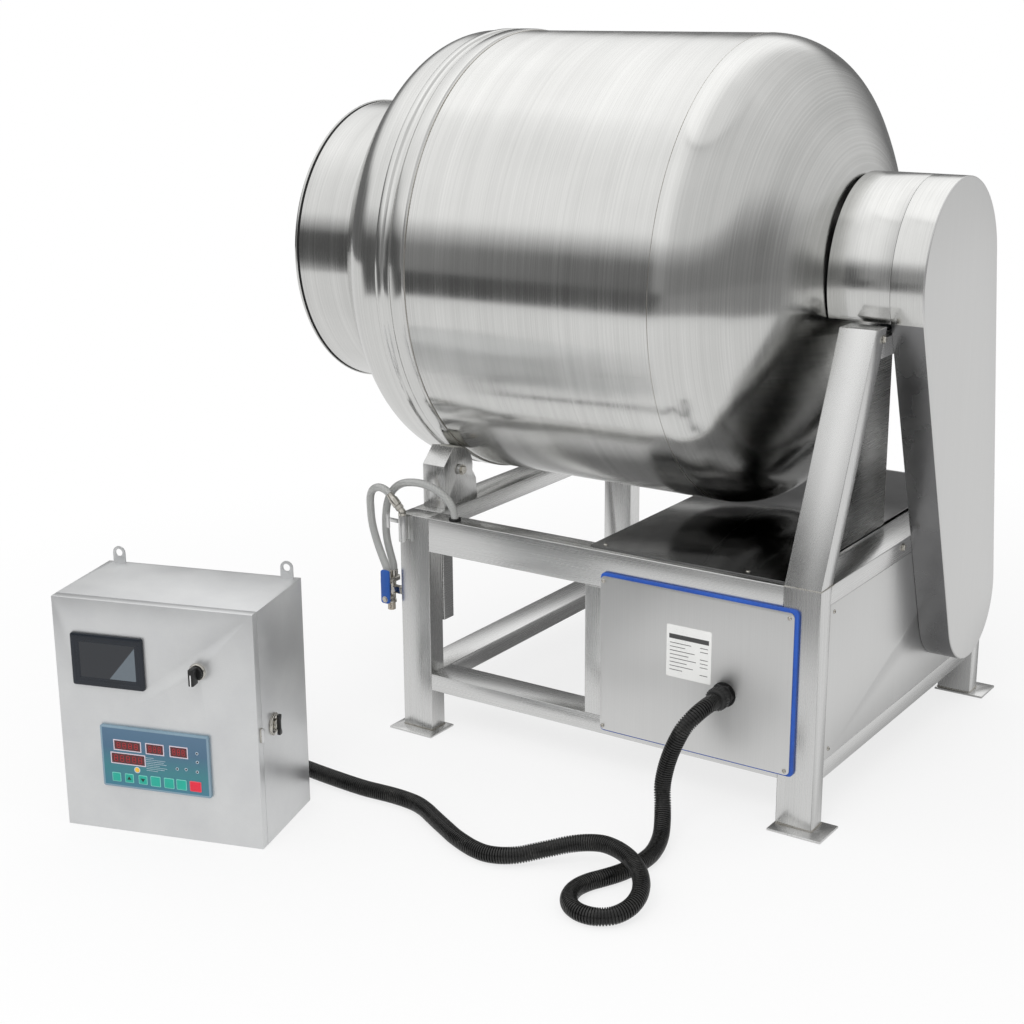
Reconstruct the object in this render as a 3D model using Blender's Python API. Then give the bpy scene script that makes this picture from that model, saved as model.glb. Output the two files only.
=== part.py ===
# Meat vacuum tumbler: a lying drum on a welded tube frame, turned through a chain at one
# end and carried by two rollers near its mouth, with a separate control box on a conduit.
#
# Lengths are metres. +X runs along the drum towards the drive end, +Y is the rear, +Z is up.
# The origin is the centre of the underside of the front foot plate at the drive end.

import math

import bmesh
import bpy
from mathutils import Matrix, Vector

SEAM = 0.0003                  # gap left between two pieces that touch
RUNNING_GAP = 0.001            # gap around a piece that turns
SHARP_ANGLE = math.radians(35)

# Frame
FRAME_LENGTH = 1.040
FRAME_WIDTH = 0.950
FRAME_HEIGHT = 0.520
LEG_WIDTH = 0.080
LEG_DEPTH = 0.050
TUBE_WALL = 0.003
TOP_RAIL_HEIGHT = 0.080
END_RAIL_HEIGHT = 0.040
LOW_RAIL_LIFT = 0.105
LOW_RAIL_HEIGHT = 0.040
LOW_RAIL_WIDTH = 0.080
BAY_LENGTH = 0.464             # drive end of the frame to the near side of the mid posts
FOOT_LENGTH = 0.120
FOOT_DEPTH = 0.090
FOOT_PLATE = 0.005
FOOT_REACH_X = 0.035           # how far a foot plate sticks out past its leg at the drive end
FOOT_REACH_MOUTH = 0.020
FOOT_REACH_Y = 0.032
STUB_WIDTH = 0.040
STUB_DEPTH = 0.037
STUB_INSET = 0.043
STUB_DROP = 0.220

# Drum on its rollers
DRUM_RADIUS = 0.510
TRACK_RISE = 0.004
TRACK_RADIUS = DRUM_RADIUS + TRACK_RISE
ROLLER_RADIUS = 0.0525
ROLLER_ANGLE = math.radians(36.1)
ROLLER_LIFT = 0.08053          # roller axes above the frame
DRUM_AXIS_HEIGHT = FRAME_HEIGHT + ROLLER_LIFT + (TRACK_RADIUS + ROLLER_RADIUS + SEAM) * math.cos(ROLLER_ANGLE)

# Bearing support
STAY_LEAN = math.radians(23.5)
STAY_DROP = 0.0515             # shaft axis down to the top of the stays
STAY_TOP = DRUM_AXIS_HEIGHT - STAY_DROP
STAY_DEPTH = 0.0545
BRIDGE_HEIGHT = 0.040
WEB_THICKNESS = 0.004
WEB_REACH = 0.487              # how far the web reaches back from the frame's front
BEARING_HEIGHT = 0.073         # shaft axis above the bridge
BEARING_BASE = 0.018
BEARING_HALF_SPAN = 0.090
BEARING_RADIUS = 0.048
BEARING_LENGTH = 0.050

# Drum heads; distances along the drum are taken from the drive end of the frame
GROOVE_SINK = 0.0015
GROOVE_RADIUS = DRUM_RADIUS - GROOVE_SINK
SHELL_WALL = 0.004
HEAD_CLEARANCE = 0.1142        # middle of the drive head to the end of the frame
DRIVE_CROWN = 0.800
DRIVE_KNUCKLE = 0.170
DRIVE_RISE = math.sqrt((DRIVE_CROWN - DRIVE_KNUCKLE) ** 2 - (DRUM_RADIUS - DRIVE_KNUCKLE) ** 2)
DRIVE_TANGENT = HEAD_CLEARANCE + DRIVE_CROWN - DRIVE_RISE
MOUTH_TANGENT = 1.087
MOUTH_CROWN = 0.651
MOUTH_KNUCKLE = 0.095
MOUTH_RISE = math.sqrt((MOUTH_CROWN - MOUTH_KNUCKLE) ** 2 - (DRUM_RADIUS - MOUTH_KNUCKLE) ** 2)
NECK_RADIUS = 0.339
NECK_LENGTH = 0.15275
NECK_END = MOUTH_TANGENT - MOUTH_RISE + math.sqrt(MOUTH_CROWN ** 2 - NECK_RADIUS ** 2) + NECK_LENGTH
TRACK_START = 0.988
TRACK_WIDTH = 0.034
GROOVE_WIDTH = 0.019
DRUM_STEPS = 48

# Vanes inside the drum
VANE_COUNT = 3
VANE_HEIGHT = 0.120
VANE_THICKNESS = 0.006
VANE_LENGTH = 0.560
HOOP_WIDTH = 0.025
HOOP_THICKNESS = 0.006

# Drive
SHAFT_RADIUS = 0.030
FLANGE_RADIUS = 0.058
FLANGE_THICKNESS = 0.010
SPROCKET_OFFSET = 0.020        # from the frame's end to the near side of both sprockets
SPROCKET_WIDTH = 0.010
DRUM_SPROCKET_RADIUS = 0.150
DRUM_SPROCKET_TEETH = 45
MOTOR_SPROCKET_TEETH = 15
TOOTH_DEPTH = 0.007
CHAIN_THICKNESS = 0.014
MOTOR_Y = 0.670                # motor axis behind the frame's front
MOTOR_RISE = 0.0132            # motor axis above the middle of its bay
MOTOR_SHAFT_RADIUS = 0.014
GEARCASE_RADIUS = 0.095
GEARCASE_LENGTH = 0.150
MOTOR_RADIUS = 0.075
MOTOR_LENGTH = 0.210
BOSS_RADIUS = 0.044
PUMP_RADIUS = 0.070
PUMP_LENGTH = 0.200
PUMP_Y = 0.260

# Sheet covers
SHEET = 0.002
COVER_SHEET = 0.003
GUARD_DEPTH = 0.072
GUARD_TOP_RADIUS = 0.206
GUARD_RISE = 0.0265            # centre of the guard's upper end above the shaft axis
GUARD_TOP_Z = DRUM_AXIS_HEIGHT + GUARD_RISE
GUARD_LOW_RADIUS = 0.138
SHROUD_GAP = 0.003             # drum head to the nearest corner of the shroud
SHROUD_LIFT = 0.002            # shroud's edges above the stays
SHROUD_BOTTOM = STAY_TOP + SHROUD_LIFT
PANEL_START = 0.042            # service panel: from the drive end, then its width
PANEL_WIDTH = 0.458
PANEL_LIFT = 0.118
PANEL_DROP = 0.043             # top of the frame down to the panel
PANEL_HEIGHT = FRAME_HEIGHT - PANEL_DROP - PANEL_LIFT
PANEL_CORNER = 0.010
GASKET_THICKNESS = 0.0077
GASKET_WIDTH = 0.028
PAN_END = 0.543

# Rollers and their brackets
ROLLER_WIDTH = 0.050
ROLLER_CENTRE = 1.000
AXLE_RADIUS = 0.008
BRACKET_WIDTH = 0.060
BRACKET_SHEET = 0.003

# Mouth closure
SEAL_THICKNESS = 0.005
SEAL_INNER_RADIUS = 0.330
LID_RADIUS = 0.342
LID_THICKNESS = 0.007
LID_RISE = 0.030
LID_DISH_RADIUS = 0.300
LID_SPIGOT_RADIUS = 0.028
LID_SPIGOT_LENGTH = 0.045

# Vacuum line on the front mouth leg
HOSE_DIAMETER = 0.018
HOLDER_RADIUS = 0.0090
HOLDER_BORE = 0.0062
HOLDER_LENGTH = 0.061
HOLDER_DROP = 0.001            # top of the frame down to the holder
HOLDER_PROUD = 0.012           # holder's axis in front of the leg
ELBOW_RADIUS = 0.0055
VALVE_RADIUS = 0.012
VALVE_DROP = 0.162             # top of the frame down to the top of the valve's block
VALVE_LENGTH = 0.079
VALVE_BLOCK = 0.013
VALVE_PORT = 0.014
VALVE_REACH = 0.038            # valve's axis out from the leg
STEM_LIFT = 0.033              # valve's lower end up to the lever's axis
LEVER_LENGTH = 0.080
LEVER_WIDTH = 0.024
LEVER_TAIL = 0.010
LEVER_THICKNESS = 0.006

# Control box
BOX_CORNER = (-1.311, -0.795)  # front left foot of the box, from the frame's front drive corner
BOX_TURN = math.radians(17.3)
BOX_WIDTH = 0.440
BOX_DEPTH = 0.240
BOX_HEIGHT = 0.500
BOX_SHEET = 0.002
DOOR_DEPTH = 0.022
DISPLAY_DROP = 0.183           # top of the box down to the display's lower edge
CONTROLLER_DROP = 0.399
DISPLAY = (0.0395, BOX_HEIGHT - DISPLAY_DROP, 0.160, 0.111)      # left, bottom, width, height on the door
CONTROLLER = (0.092, BOX_HEIGHT - CONTROLLER_DROP, 0.242, 0.134)
BEZEL = 0.007
MODULE_INSET = 0.006
DISPLAY_BODY = 0.018
CONTROLLER_BODY = 0.030
KEY_WIDTH = 0.022
KEY_HEIGHT = 0.013
KEY_THICKNESS = 0.003
KEY_PROUD = 0.001
KEY_TRAVEL = 0.0004
KEY_CENTRES = (0.1234, 0.1521, 0.1829, 0.2112, 0.2415, 0.2692, 0.3003)
KEY_ROW = CONTROLLER[1] + 0.0225
KNOB_AT = (0.316, BOX_HEIGHT - 0.130)
KNOB_RADIUS = 0.013
KNOB_SHAFT = 0.004
LATCH_AT = (0.075, BOX_HEIGHT - 0.257)       # behind the door's face, above the floor
LUG_INSET = 0.028
LUG_WIDTH = 0.028
LUG_RISE = 0.036
LUG_HOLE = 0.008
BOSS_AT = (0.2015, 0.090)
BOSS_LENGTH = 0.025

# Power conduit
CONDUIT_DIAMETER = 0.0345
GLAND_AT = (-0.201, 0.266)     # on the service panel, from the drive end and the floor
GLAND_LENGTH = 0.040
GLAND_RADIUS = 0.024

drive_x = FOOT_LENGTH / 2 - FOOT_REACH_X
mouth_x = drive_x - FRAME_LENGTH
front_y = FOOT_REACH_Y - FOOT_DEPTH / 2
rear_y = front_y + FRAME_WIDTH
axis_y = (front_y + rear_y) / 2
axis_z = DRUM_AXIS_HEIGHT

# The motor hangs about the middle of the bay between the pan and the top rail
pan_top = LOW_RAIL_LIFT + LOW_RAIL_HEIGHT + SHEET + 2 * SEAM
motor_z = (pan_top + FRAME_HEIGHT - END_RAIL_HEIGHT) / 2 + MOTOR_RISE

# The shroud ends short of the drum's head where its lower corners come nearest
corner_drop = GUARD_TOP_Z - SHROUD_BOTTOM
corner_radius = math.hypot(math.sqrt(GUARD_TOP_RADIUS ** 2 - corner_drop ** 2), axis_z - SHROUD_BOTTOM)
drive_hub = -DRIVE_TANGENT - DRIVE_RISE
shroud_start = drive_hub + math.sqrt(DRIVE_CROWN ** 2 - corner_radius ** 2) + SHROUD_GAP


def make_material(name, colour, metallic, roughness):
    material = bpy.data.materials.new(name)
    material.use_nodes = True
    shader = material.node_tree.nodes["Principled BSDF"]
    shader.inputs["Base Color"].default_value = (*colour, 1.0)
    shader.inputs["Metallic"].default_value = metallic
    shader.inputs["Roughness"].default_value = roughness
    material.diffuse_color = (*colour, 1.0)
    return material


def place(name, bm, material, location=(0, 0, 0), rotation=(0, 0, 0), parent=None, smooth=False):
    bmesh.ops.recalc_face_normals(bm, faces=bm.faces)
    mesh = bpy.data.meshes.new(name)
    bm.to_mesh(mesh)
    bm.free()
    mesh.materials.append(material)
    if smooth:
        mesh.shade_smooth()
        mesh.set_sharp_from_angle(angle=SHARP_ANGLE)
    obj = bpy.data.objects.new(name, mesh)
    obj.location = location
    obj.rotation_euler = rotation
    obj.parent = parent
    bpy.context.collection.objects.link(obj)
    return obj


def shape_with(obj, operation, bm, location=(0, 0, 0), rotation=(0, 0, 0), parent=None):
    # Welds a second shape to a piece, or cuts it away
    name = f"{operation.lower()}.{obj.name}.{len(obj.modifiers)}"
    tool = place(name, bm, obj.data.materials[0], location, rotation, parent)
    tool.hide_render = True
    tool.display_type = "WIRE"
    modifier = obj.modifiers.new(name, "BOOLEAN")
    modifier.operation = operation
    modifier.solver = "EXACT"
    modifier.object = tool


def on_plane(axis, a, b, level):
    return {"X": (level, a, b), "Y": (a, level, b), "Z": (a, b, level)}[axis]


def rectangle(a0, a1, b0, b1):
    return [(a0, b0), (a1, b0), (a1, b1), (a0, b1)]


def rounded(a0, a1, b0, b1, radius, steps=3):
    corners = ((a1 - radius, b0 + radius, -90), (a1 - radius, b1 - radius, 0),
               (a0 + radius, b1 - radius, 90), (a0 + radius, b0 + radius, 180))
    points = []
    for a, b, start in corners:
        for k in range(steps + 1):
            angle = math.radians(start + 90 * k / steps)
            points.append((a + radius * math.cos(angle), b + radius * math.sin(angle)))
    return points


def disc(a, b, radius, steps):
    turns = (2 * math.pi * k / steps for k in range(steps))
    return [(a + radius * math.cos(t), b + radius * math.sin(t)) for t in turns]


def belt(first, first_radius, second, second_radius, steps):
    # Outline of a tight belt around two circles
    along = Vector(second) - Vector(first)
    heading = math.atan2(along.y, along.x)
    spread = math.acos((first_radius - second_radius) / along.length)
    points = []
    for k in range(steps + 1):
        angle = heading + spread + (2 * math.pi - 2 * spread) * k / steps
        points.append((first[0] + first_radius * math.cos(angle), first[1] + first_radius * math.sin(angle)))
    for k in range(steps + 1):
        angle = heading - spread + 2 * spread * k / steps
        points.append((second[0] + second_radius * math.cos(angle), second[1] + second_radius * math.sin(angle)))
    return points


def toothed(a, b, radius, teeth):
    points = []
    for k in range(teeth):
        for share, reach in ((-0.30, -TOOTH_DEPTH), (-0.12, 0), (0.12, 0), (0.30, -TOOTH_DEPTH)):
            angle = 2 * math.pi * (k + share) / teeth
            points.append((a + (radius + reach) * math.cos(angle), b + (radius + reach) * math.sin(angle)))
    return points


def ring_of(bm, outline, axis, level):
    verts = [bm.verts.new(on_plane(axis, a, b, level)) for a, b in outline]
    edges = [bm.edges.new((verts[k - 1], verts[k])) for k in range(len(verts))]
    return verts, edges


def prism(outline, axis, low, high, hole=None):
    bm = bmesh.new()
    verts, edges = ring_of(bm, outline, axis, low)
    if hole is None:
        faces = [bm.faces.new(verts)]
    else:
        edges += ring_of(bm, hole, axis, low)[1]
        faces = bmesh.ops.bridge_loops(bm, edges=edges)["faces"]
    grown = bmesh.ops.extrude_face_region(bm, geom=faces)["geom"]
    moved = [item for item in grown if isinstance(item, bmesh.types.BMVert)]
    bmesh.ops.translate(bm, verts=moved, vec=on_plane(axis, 0, 0, high - low))
    return bm


def cup(outline, axis, closed, opened, wall):
    # A tray or cap of even wall: closed at one level along the axis and open at the other
    bm = prism(outline, axis, closed, opened)
    index = "XYZ".index(axis)
    lip = [face for face in bm.faces if all(abs(v.co[index] - opened) < 1e-6 for v in face.verts)]
    bmesh.ops.recalc_face_normals(bm, faces=bm.faces)
    bmesh.ops.inset_region(bm, faces=lip, thickness=wall, use_even_offset=True)
    grown = bmesh.ops.extrude_face_region(bm, geom=lip)["geom"]
    moved = [item for item in grown if isinstance(item, bmesh.types.BMVert)]
    depth = closed - opened
    depth -= math.copysign(wall, depth)
    bmesh.ops.translate(bm, verts=moved, vec=on_plane(axis, 0, 0, depth))
    bmesh.ops.delete(bm, geom=lip, context="FACES_ONLY")
    return bm


def box(x, y, z):
    return prism(rectangle(*x, *y), "Z", *z)


def turned(profile, steps, ring=False):
    # Profile of (height, radius) spun around local Z; a ring's profile closes on itself
    bm = bmesh.new()
    verts = [bm.verts.new((radius, 0, height)) for height, radius in profile]
    edges = [bm.edges.new(pair) for pair in zip(verts, verts[1:])]
    if ring:
        edges.append(bm.edges.new((verts[-1], verts[0])))
    bmesh.ops.spin(bm, geom=verts + edges, cent=(0, 0, 0), axis=(0, 0, 1),
                   angle=2 * math.pi, steps=steps, use_merge=True)
    bmesh.ops.remove_doubles(bm, verts=bm.verts, dist=1e-6)
    return bm


def stepped(*sections):
    # Profile of a solid turned from sections of (height, radius), low to high
    low, radius = sections[0]
    profile = [(low, 0.0)]
    for height, next_radius in sections[1:]:
        profile += [(low, radius), (height, radius)]
        low, radius = height, next_radius
    return profile + [(low, 0.0)]


def bored(radius, steps):
    # Corner radius of a bore whose flats still clear a round of this radius
    return (radius + RUNNING_GAP) / math.cos(math.pi / steps)


def arc(centre, radius, start, end, steps):
    turns = (start + (end - start) * k / steps for k in range(steps + 1))
    return [(centre[0] + radius * math.cos(t), centre[1] + radius * math.sin(t)) for t in turns]


def smooth_points(points, spacing):
    # Points at even spacing on a centripetal Catmull-Rom curve through the given ones;
    # the first and the last stretch stay straight, so that the ends sit square
    knots = [Vector(p) for p in points]
    fine = []
    for a, b, c, d in zip(knots, knots[1:], knots[2:], knots[3:]):
        t1 = (b - a).length ** 0.5
        t2 = t1 + (c - b).length ** 0.5
        t3 = t2 + (d - c).length ** 0.5
        for k in range(16):
            t = t1 + (t2 - t1) * k / 16
            ab = a.lerp(b, t / t1)
            bc = b.lerp(c, (t - t1) / (t2 - t1))
            cd = c.lerp(d, (t - t2) / (t3 - t2))
            abc = ab.lerp(bc, t / t2)
            bcd = bc.lerp(cd, (t - t1) / (t3 - t1))
            fine.append(abc.lerp(bcd, (t - t1) / (t2 - t1)))
    fine.append(knots[-2])
    total = sum((q - p).length for p, q in zip(fine, fine[1:]))
    count = round(total / spacing)
    even = [fine[0]]
    walked = 0.0
    for p, q in zip(fine, fine[1:]):
        step = (q - p).length
        while len(even) < count and walked + step >= total * len(even) / count:
            even.append(p.lerp(q, (total * len(even) / count - walked) / step))
        walked += step
    return [knots[0]] + even + [fine[-1], knots[-1]]


def tube_along(name, points, diameter, material, resolution=2):
    curve = bpy.data.curves.new(name, "CURVE")
    curve.dimensions = "3D"
    curve.bevel_depth = diameter / 2
    curve.bevel_resolution = resolution
    curve.use_fill_caps = True
    spline = curve.splines.new("POLY")
    spline.points.add(len(points) - 1)
    for point, spot in zip(spline.points, points):
        point.co = (*spot, 1.0)
    curve.materials.append(material)
    obj = bpy.data.objects.new(name, curve)
    bpy.context.collection.objects.link(obj)
    return obj


def depth_span(side, near, far):
    # A span measured inwards from the front or the rear face of the frame
    if side == "front":
        return front_y + near, front_y + far
    return rear_y - far, rear_y - near


def turned_x(at_y, at_z, x=0.0):
    # Location and rotation that lay a turned piece along +X
    return {"location": (x, at_y, at_z), "rotation": (0, math.pi / 2, 0)}


def build_frame():
    wall = TUBE_WALL
    leg_spans = {"drive": (drive_x - LEG_WIDTH, drive_x), "mouth": (mouth_x, mouth_x + LEG_WIDTH)}
    for side in ("front", "rear"):
        for end, (x0, x1) in leg_spans.items():
            y0, y1 = depth_span(side, 0, LEG_DEPTH)
            leg = place(f"leg_{side}_{end}", cup(rectangle(x0, x1, y0, y1), "Z", FRAME_HEIGHT, FOOT_PLATE / 2, wall),
                        steel)
            # The hollow of the leg breathes into the top rail that butts against it
            inner = x0 if end == "drive" else x1
            rail_low = FRAME_HEIGHT - TOP_RAIL_HEIGHT
            shape_with(leg, "DIFFERENCE", box((inner - 2 * wall, inner + 2 * wall),
                                              (y0 + 3 * wall, y1 - 3 * wall),
                                              (rail_low + 4 * wall, FRAME_HEIGHT - 4 * wall)))
            foot_x = (x1 + FOOT_REACH_X - FOOT_LENGTH, x1 + FOOT_REACH_X) if end == "drive" else \
                (x0 - FOOT_REACH_MOUTH, x0 - FOOT_REACH_MOUTH + FOOT_LENGTH)
            foot_y = depth_span(side, -FOOT_REACH_Y, FOOT_DEPTH - FOOT_REACH_Y)
            shape_with(leg, "UNION", box(foot_x, foot_y, (0, FOOT_PLATE)))

    rail_x = (mouth_x + LEG_WIDTH + SEAM, drive_x - LEG_WIDTH - SEAM)
    cross_y = (front_y + LEG_DEPTH + SEAM, rear_y - LEG_DEPTH - SEAM)
    low = (LOW_RAIL_LIFT, LOW_RAIL_LIFT + LOW_RAIL_HEIGHT)
    for side in ("front", "rear"):
        y0, y1 = depth_span(side, 0, LEG_DEPTH)
        z0, z1 = FRAME_HEIGHT - TOP_RAIL_HEIGHT, FRAME_HEIGHT
        place(f"rail_top_{side}", prism(rectangle(y0, y1, z0, z1), "X", *rail_x,
                                        hole=rectangle(y0 + wall, y1 - wall, z0 + wall, z1 - wall)), steel)
        y0, y1 = depth_span(side, 0, LOW_RAIL_WIDTH)
        z0, z1 = low
        place(f"rail_low_{side}", prism(rectangle(y0, y1, z0, z1), "X", *rail_x,
                                        hole=rectangle(y0 + wall, y1 - wall, z0 + wall, z1 - wall)), steel)
        y0, y1 = depth_span(side, 0, LEG_DEPTH)
        x0, x1 = drive_x - BAY_LENGTH - LEG_WIDTH, drive_x - BAY_LENGTH
        place(f"post_{side}", prism(rectangle(x0, x1, y0, y1), "Z", low[1] + SEAM,
                                    FRAME_HEIGHT - TOP_RAIL_HEIGHT - SEAM,
                                    hole=rectangle(x0 + wall, x1 - wall, y0 + wall, y1 - wall)), steel)
    for end, (x0, x1) in leg_spans.items():
        z0, z1 = FRAME_HEIGHT - END_RAIL_HEIGHT, FRAME_HEIGHT
        rail = place(f"rail_top_{end}", prism(rectangle(x0, x1, z0, z1), "Y", *cross_y,
                                              hole=rectangle(x0 + wall, x1 - wall, z0 + wall, z1 - wall)), steel)
        if end == "mouth":
            stub_x = (x1 - STUB_WIDTH, x1)
            stub_y = (front_y + LEG_DEPTH + STUB_INSET - STUB_DEPTH, front_y + LEG_DEPTH + STUB_INSET)
            shape_with(rail, "UNION", cup(rectangle(*stub_x, *stub_y), "Z", z0 - STUB_DROP, z0 + wall / 2, wall))
            shape_with(rail, "DIFFERENCE", box((stub_x[0] + 2 * wall, stub_x[1] - 2 * wall),
                                               (stub_y[0] + 2 * wall, stub_y[1] - 2 * wall),
                                               (z0 - wall, z0 + 2 * wall)))
        z0, z1 = low
        place(f"rail_low_{end}", prism(rectangle(x0, x1, z0, z1), "Y", *cross_y,
                                       hole=rectangle(x0 + wall, x1 - wall, z0 + wall, z1 - wall)), steel)


def stay_face(height, inset):
    # Distance in from the frame's side of a stay's face, at a height
    return (height - FRAME_HEIGHT) * math.tan(STAY_LEAN) + inset


def build_bearing_support():
    x = (drive_x - LEG_WIDTH, drive_x)
    foot, top, wall = FRAME_HEIGHT + SEAM, STAY_TOP, TUBE_WALL
    skew = wall / math.cos(STAY_LEAN)
    for side in ("front", "rear"):
        def line(height, inset):
            return depth_span(side, stay_face(height, inset), 0)[0 if side == "front" else 1]

        outer = [(line(foot, 0), foot), (line(foot, STAY_DEPTH), foot),
                 (line(top, STAY_DEPTH), top), (line(top, 0), top)]
        stay = place(f"stay_{side}", prism(outer, "X", *x), steel)
        below, cap = foot - wall, top - wall
        hollow = [(line(below, skew), below), (line(below, STAY_DEPTH - skew), below),
                  (line(cap, STAY_DEPTH - skew), cap), (line(cap, skew), cap)]
        shape_with(stay, "DIFFERENCE", prism(hollow, "X", x[0] + wall, x[1] - wall))

    z1 = axis_z - BEARING_HEIGHT - SEAM
    z0 = z1 - BRIDGE_HEIGHT

    def leaning(bm):
        for vert in bm.verts:
            reach = stay_face(vert.co.z, STAY_DEPTH) + SEAM
            vert.co.y = front_y + reach if vert.co.y < axis_y else rear_y - reach
        return bm

    bridge = leaning(prism(rectangle(*x, z0, z1), "Y", front_y, rear_y,
                           hole=rectangle(x[0] + wall, x[1] - wall, z0 + wall, z1 - wall)))
    bridge = place("bearing_bridge", bridge, steel)
    web_x = x[0] + SEAM
    web_foot = FRAME_HEIGHT + 2 * COVER_SHEET
    web = [(front_y + stay_face(web_foot, STAY_DEPTH) + SEAM, web_foot), (front_y + WEB_REACH, web_foot),
           (front_y + WEB_REACH, z0 + 2 * wall), (front_y + stay_face(z0 + 2 * wall, STAY_DEPTH) + SEAM, z0 + 2 * wall)]
    shape_with(bridge, "UNION", prism(web, "X", web_x, web_x + WEB_THICKNESS))

    middle = drive_x - LEG_WIDTH / 2
    half = BEARING_LENGTH / 2
    block = place("bearing_block", turned(stepped((-half, BEARING_RADIUS), (half, 0)), 24), cast,
                  **turned_x(axis_y, axis_z, middle))
    base = (axis_z - BEARING_HEIGHT, axis_z - BEARING_HEIGHT + BEARING_BASE)
    shape_with(block, "UNION", box((middle - half, middle + half),
                                   (axis_y - BEARING_HALF_SPAN, axis_y + BEARING_HALF_SPAN), base))
    shape_with(block, "UNION", box((middle - half, middle + half),
                                   (axis_y - BEARING_RADIUS, axis_y + BEARING_RADIUS),
                                   (base[0], axis_z - BEARING_RADIUS / 2)))
    shape_with(block, "DIFFERENCE", turned(stepped((-2 * half, bored(SHAFT_RADIUS, 24)), (2 * half, 0)), 24),
               **turned_x(axis_y, axis_z, middle))


def drum_profiles():
    # Outer profile from the drive hub to the mouth, then back along the inside
    def head(tangent, knuckle, crown, way, steps):
        hub = tangent - way * math.sqrt((crown - knuckle) ** 2 - (DRUM_RADIUS - knuckle) ** 2)
        bend = math.atan2(DRUM_RADIUS - knuckle, abs(tangent - hub))
        return hub, bend, [(tangent + way * knuckle * math.cos(t), DRUM_RADIUS - knuckle + knuckle * math.sin(t), t)
                           for t in (bend + (math.pi / 2 - bend) * k / steps for k in range(steps + 1))]

    drive_hub, drive_bend, drive_turn = head(-DRIVE_TANGENT, DRIVE_KNUCKLE, DRIVE_CROWN, 1, 6)
    mouth_hub, mouth_bend, mouth_turn = head(-MOUTH_TANGENT, MOUTH_KNUCKLE, MOUTH_CROWN, -1, 5)
    outer, inner = [], []
    start = math.asin(FLANGE_RADIUS / DRIVE_CROWN)
    for k in range(7):
        t = start + (drive_bend - start) * k / 7
        outer.append((drive_hub + DRIVE_CROWN * math.cos(t), DRIVE_CROWN * math.sin(t)))
        if k % 2 == 0:
            inner.append((drive_hub + (DRIVE_CROWN - SHELL_WALL) * math.cos(t), (DRIVE_CROWN - SHELL_WALL) * math.sin(t)))
    for k, (x, r, t) in enumerate(drive_turn):
        outer.append((x, r))
        if k % 2 == 0:
            inner.append((x - SHELL_WALL * math.cos(t), r - SHELL_WALL * math.sin(t)))
    ramp = 0.002
    track = (TRACK_START, TRACK_START + TRACK_WIDTH)
    groove = (track[1] + ramp, track[1] + ramp + GROOVE_WIDTH)
    outer += [(-track[0], DRUM_RADIUS), (-track[0] - ramp, TRACK_RADIUS), (-track[1], TRACK_RADIUS),
              (-groove[0], GROOVE_RADIUS), (-groove[1], GROOVE_RADIUS), (-groove[1] - ramp, TRACK_RADIUS),
              (-groove[1] - 8 * ramp, TRACK_RADIUS), (-groove[1] - 9 * ramp, DRUM_RADIUS)]
    for k, (x, r, t) in enumerate(reversed(mouth_turn)):
        outer.append((x, r))
        if k % 2 == 0:
            inner.append((x + SHELL_WALL * math.cos(t), r - SHELL_WALL * math.sin(t)))
    neck = math.asin(NECK_RADIUS / MOUTH_CROWN)
    for k in range(1, 6):
        t = mouth_bend + (neck - mouth_bend) * k / 5
        outer.append((mouth_hub - MOUTH_CROWN * math.cos(t), MOUTH_CROWN * math.sin(t)))
    inner_neck = math.asin((NECK_RADIUS - SHELL_WALL) / (MOUTH_CROWN - SHELL_WALL))
    for k in range(1, 4):
        t = mouth_bend + (inner_neck - mouth_bend) * k / 3
        inner.append((mouth_hub - (MOUTH_CROWN - SHELL_WALL) * math.cos(t), (MOUTH_CROWN - SHELL_WALL) * math.sin(t)))
    outer.append((-NECK_END, NECK_RADIUS))
    inner.append((-NECK_END, NECK_RADIUS - SHELL_WALL))
    return outer, inner


def build_drum():
    outer, inner = drum_profiles()
    hub_x = outer[0][0]
    profile = [(hub_x, 0.0)] + outer + list(reversed(inner)) + [(inner[0][0], 0.0)]
    place("drum_shell", turned(profile, DRUM_STEPS), steel, **turned_x(axis_y, axis_z, drive_x), smooth=True)

    shaft_end = SPROCKET_OFFSET + SPROCKET_WIDTH + 0.012
    shaft = stepped((hub_x + SEAM, FLANGE_RADIUS), (hub_x + SEAM + FLANGE_THICKNESS, SHAFT_RADIUS), (shaft_end, 0))
    shaft = place("drive_shaft", turned(shaft, 24), dark_steel, **turned_x(axis_y, axis_z, drive_x), smooth=True)
    gear_x = (drive_x + SPROCKET_OFFSET, drive_x + SPROCKET_OFFSET + SPROCKET_WIDTH)
    shape_with(shaft, "UNION", prism(toothed(axis_y, axis_z, DRUM_SPROCKET_RADIUS, DRUM_SPROCKET_TEETH), "X", *gear_x))

    bore = DRUM_RADIUS - SHELL_WALL - SEAM
    hoop_x = -(DRIVE_TANGENT + MOUTH_TANGENT) / 2
    hoop = [(hoop_x - HOOP_WIDTH / 2, bore), (hoop_x + HOOP_WIDTH / 2, bore),
            (hoop_x + HOOP_WIDTH / 2, bore - HOOP_THICKNESS), (hoop_x - HOOP_WIDTH / 2, bore - HOOP_THICKNESS)]
    vanes = place("drum_vanes", turned(hoop, DRUM_STEPS, ring=True), steel, **turned_x(axis_y, axis_z, drive_x))
    tip = bore * math.cos(math.pi / DRUM_STEPS) - SEAM
    for k in range(VANE_COUNT):
        vane = box((tip - VANE_HEIGHT, tip), (-VANE_THICKNESS / 2, VANE_THICKNESS / 2),
                   (hoop_x - VANE_LENGTH / 2, hoop_x + VANE_LENGTH / 2))
        bmesh.ops.rotate(vane, verts=vane.verts, cent=(0, 0, 0),
                         matrix=Matrix.Rotation(2 * math.pi * k / VANE_COUNT, 3, "Z"))
        shape_with(vanes, "UNION", vane, **turned_x(axis_y, axis_z, drive_x))


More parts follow.
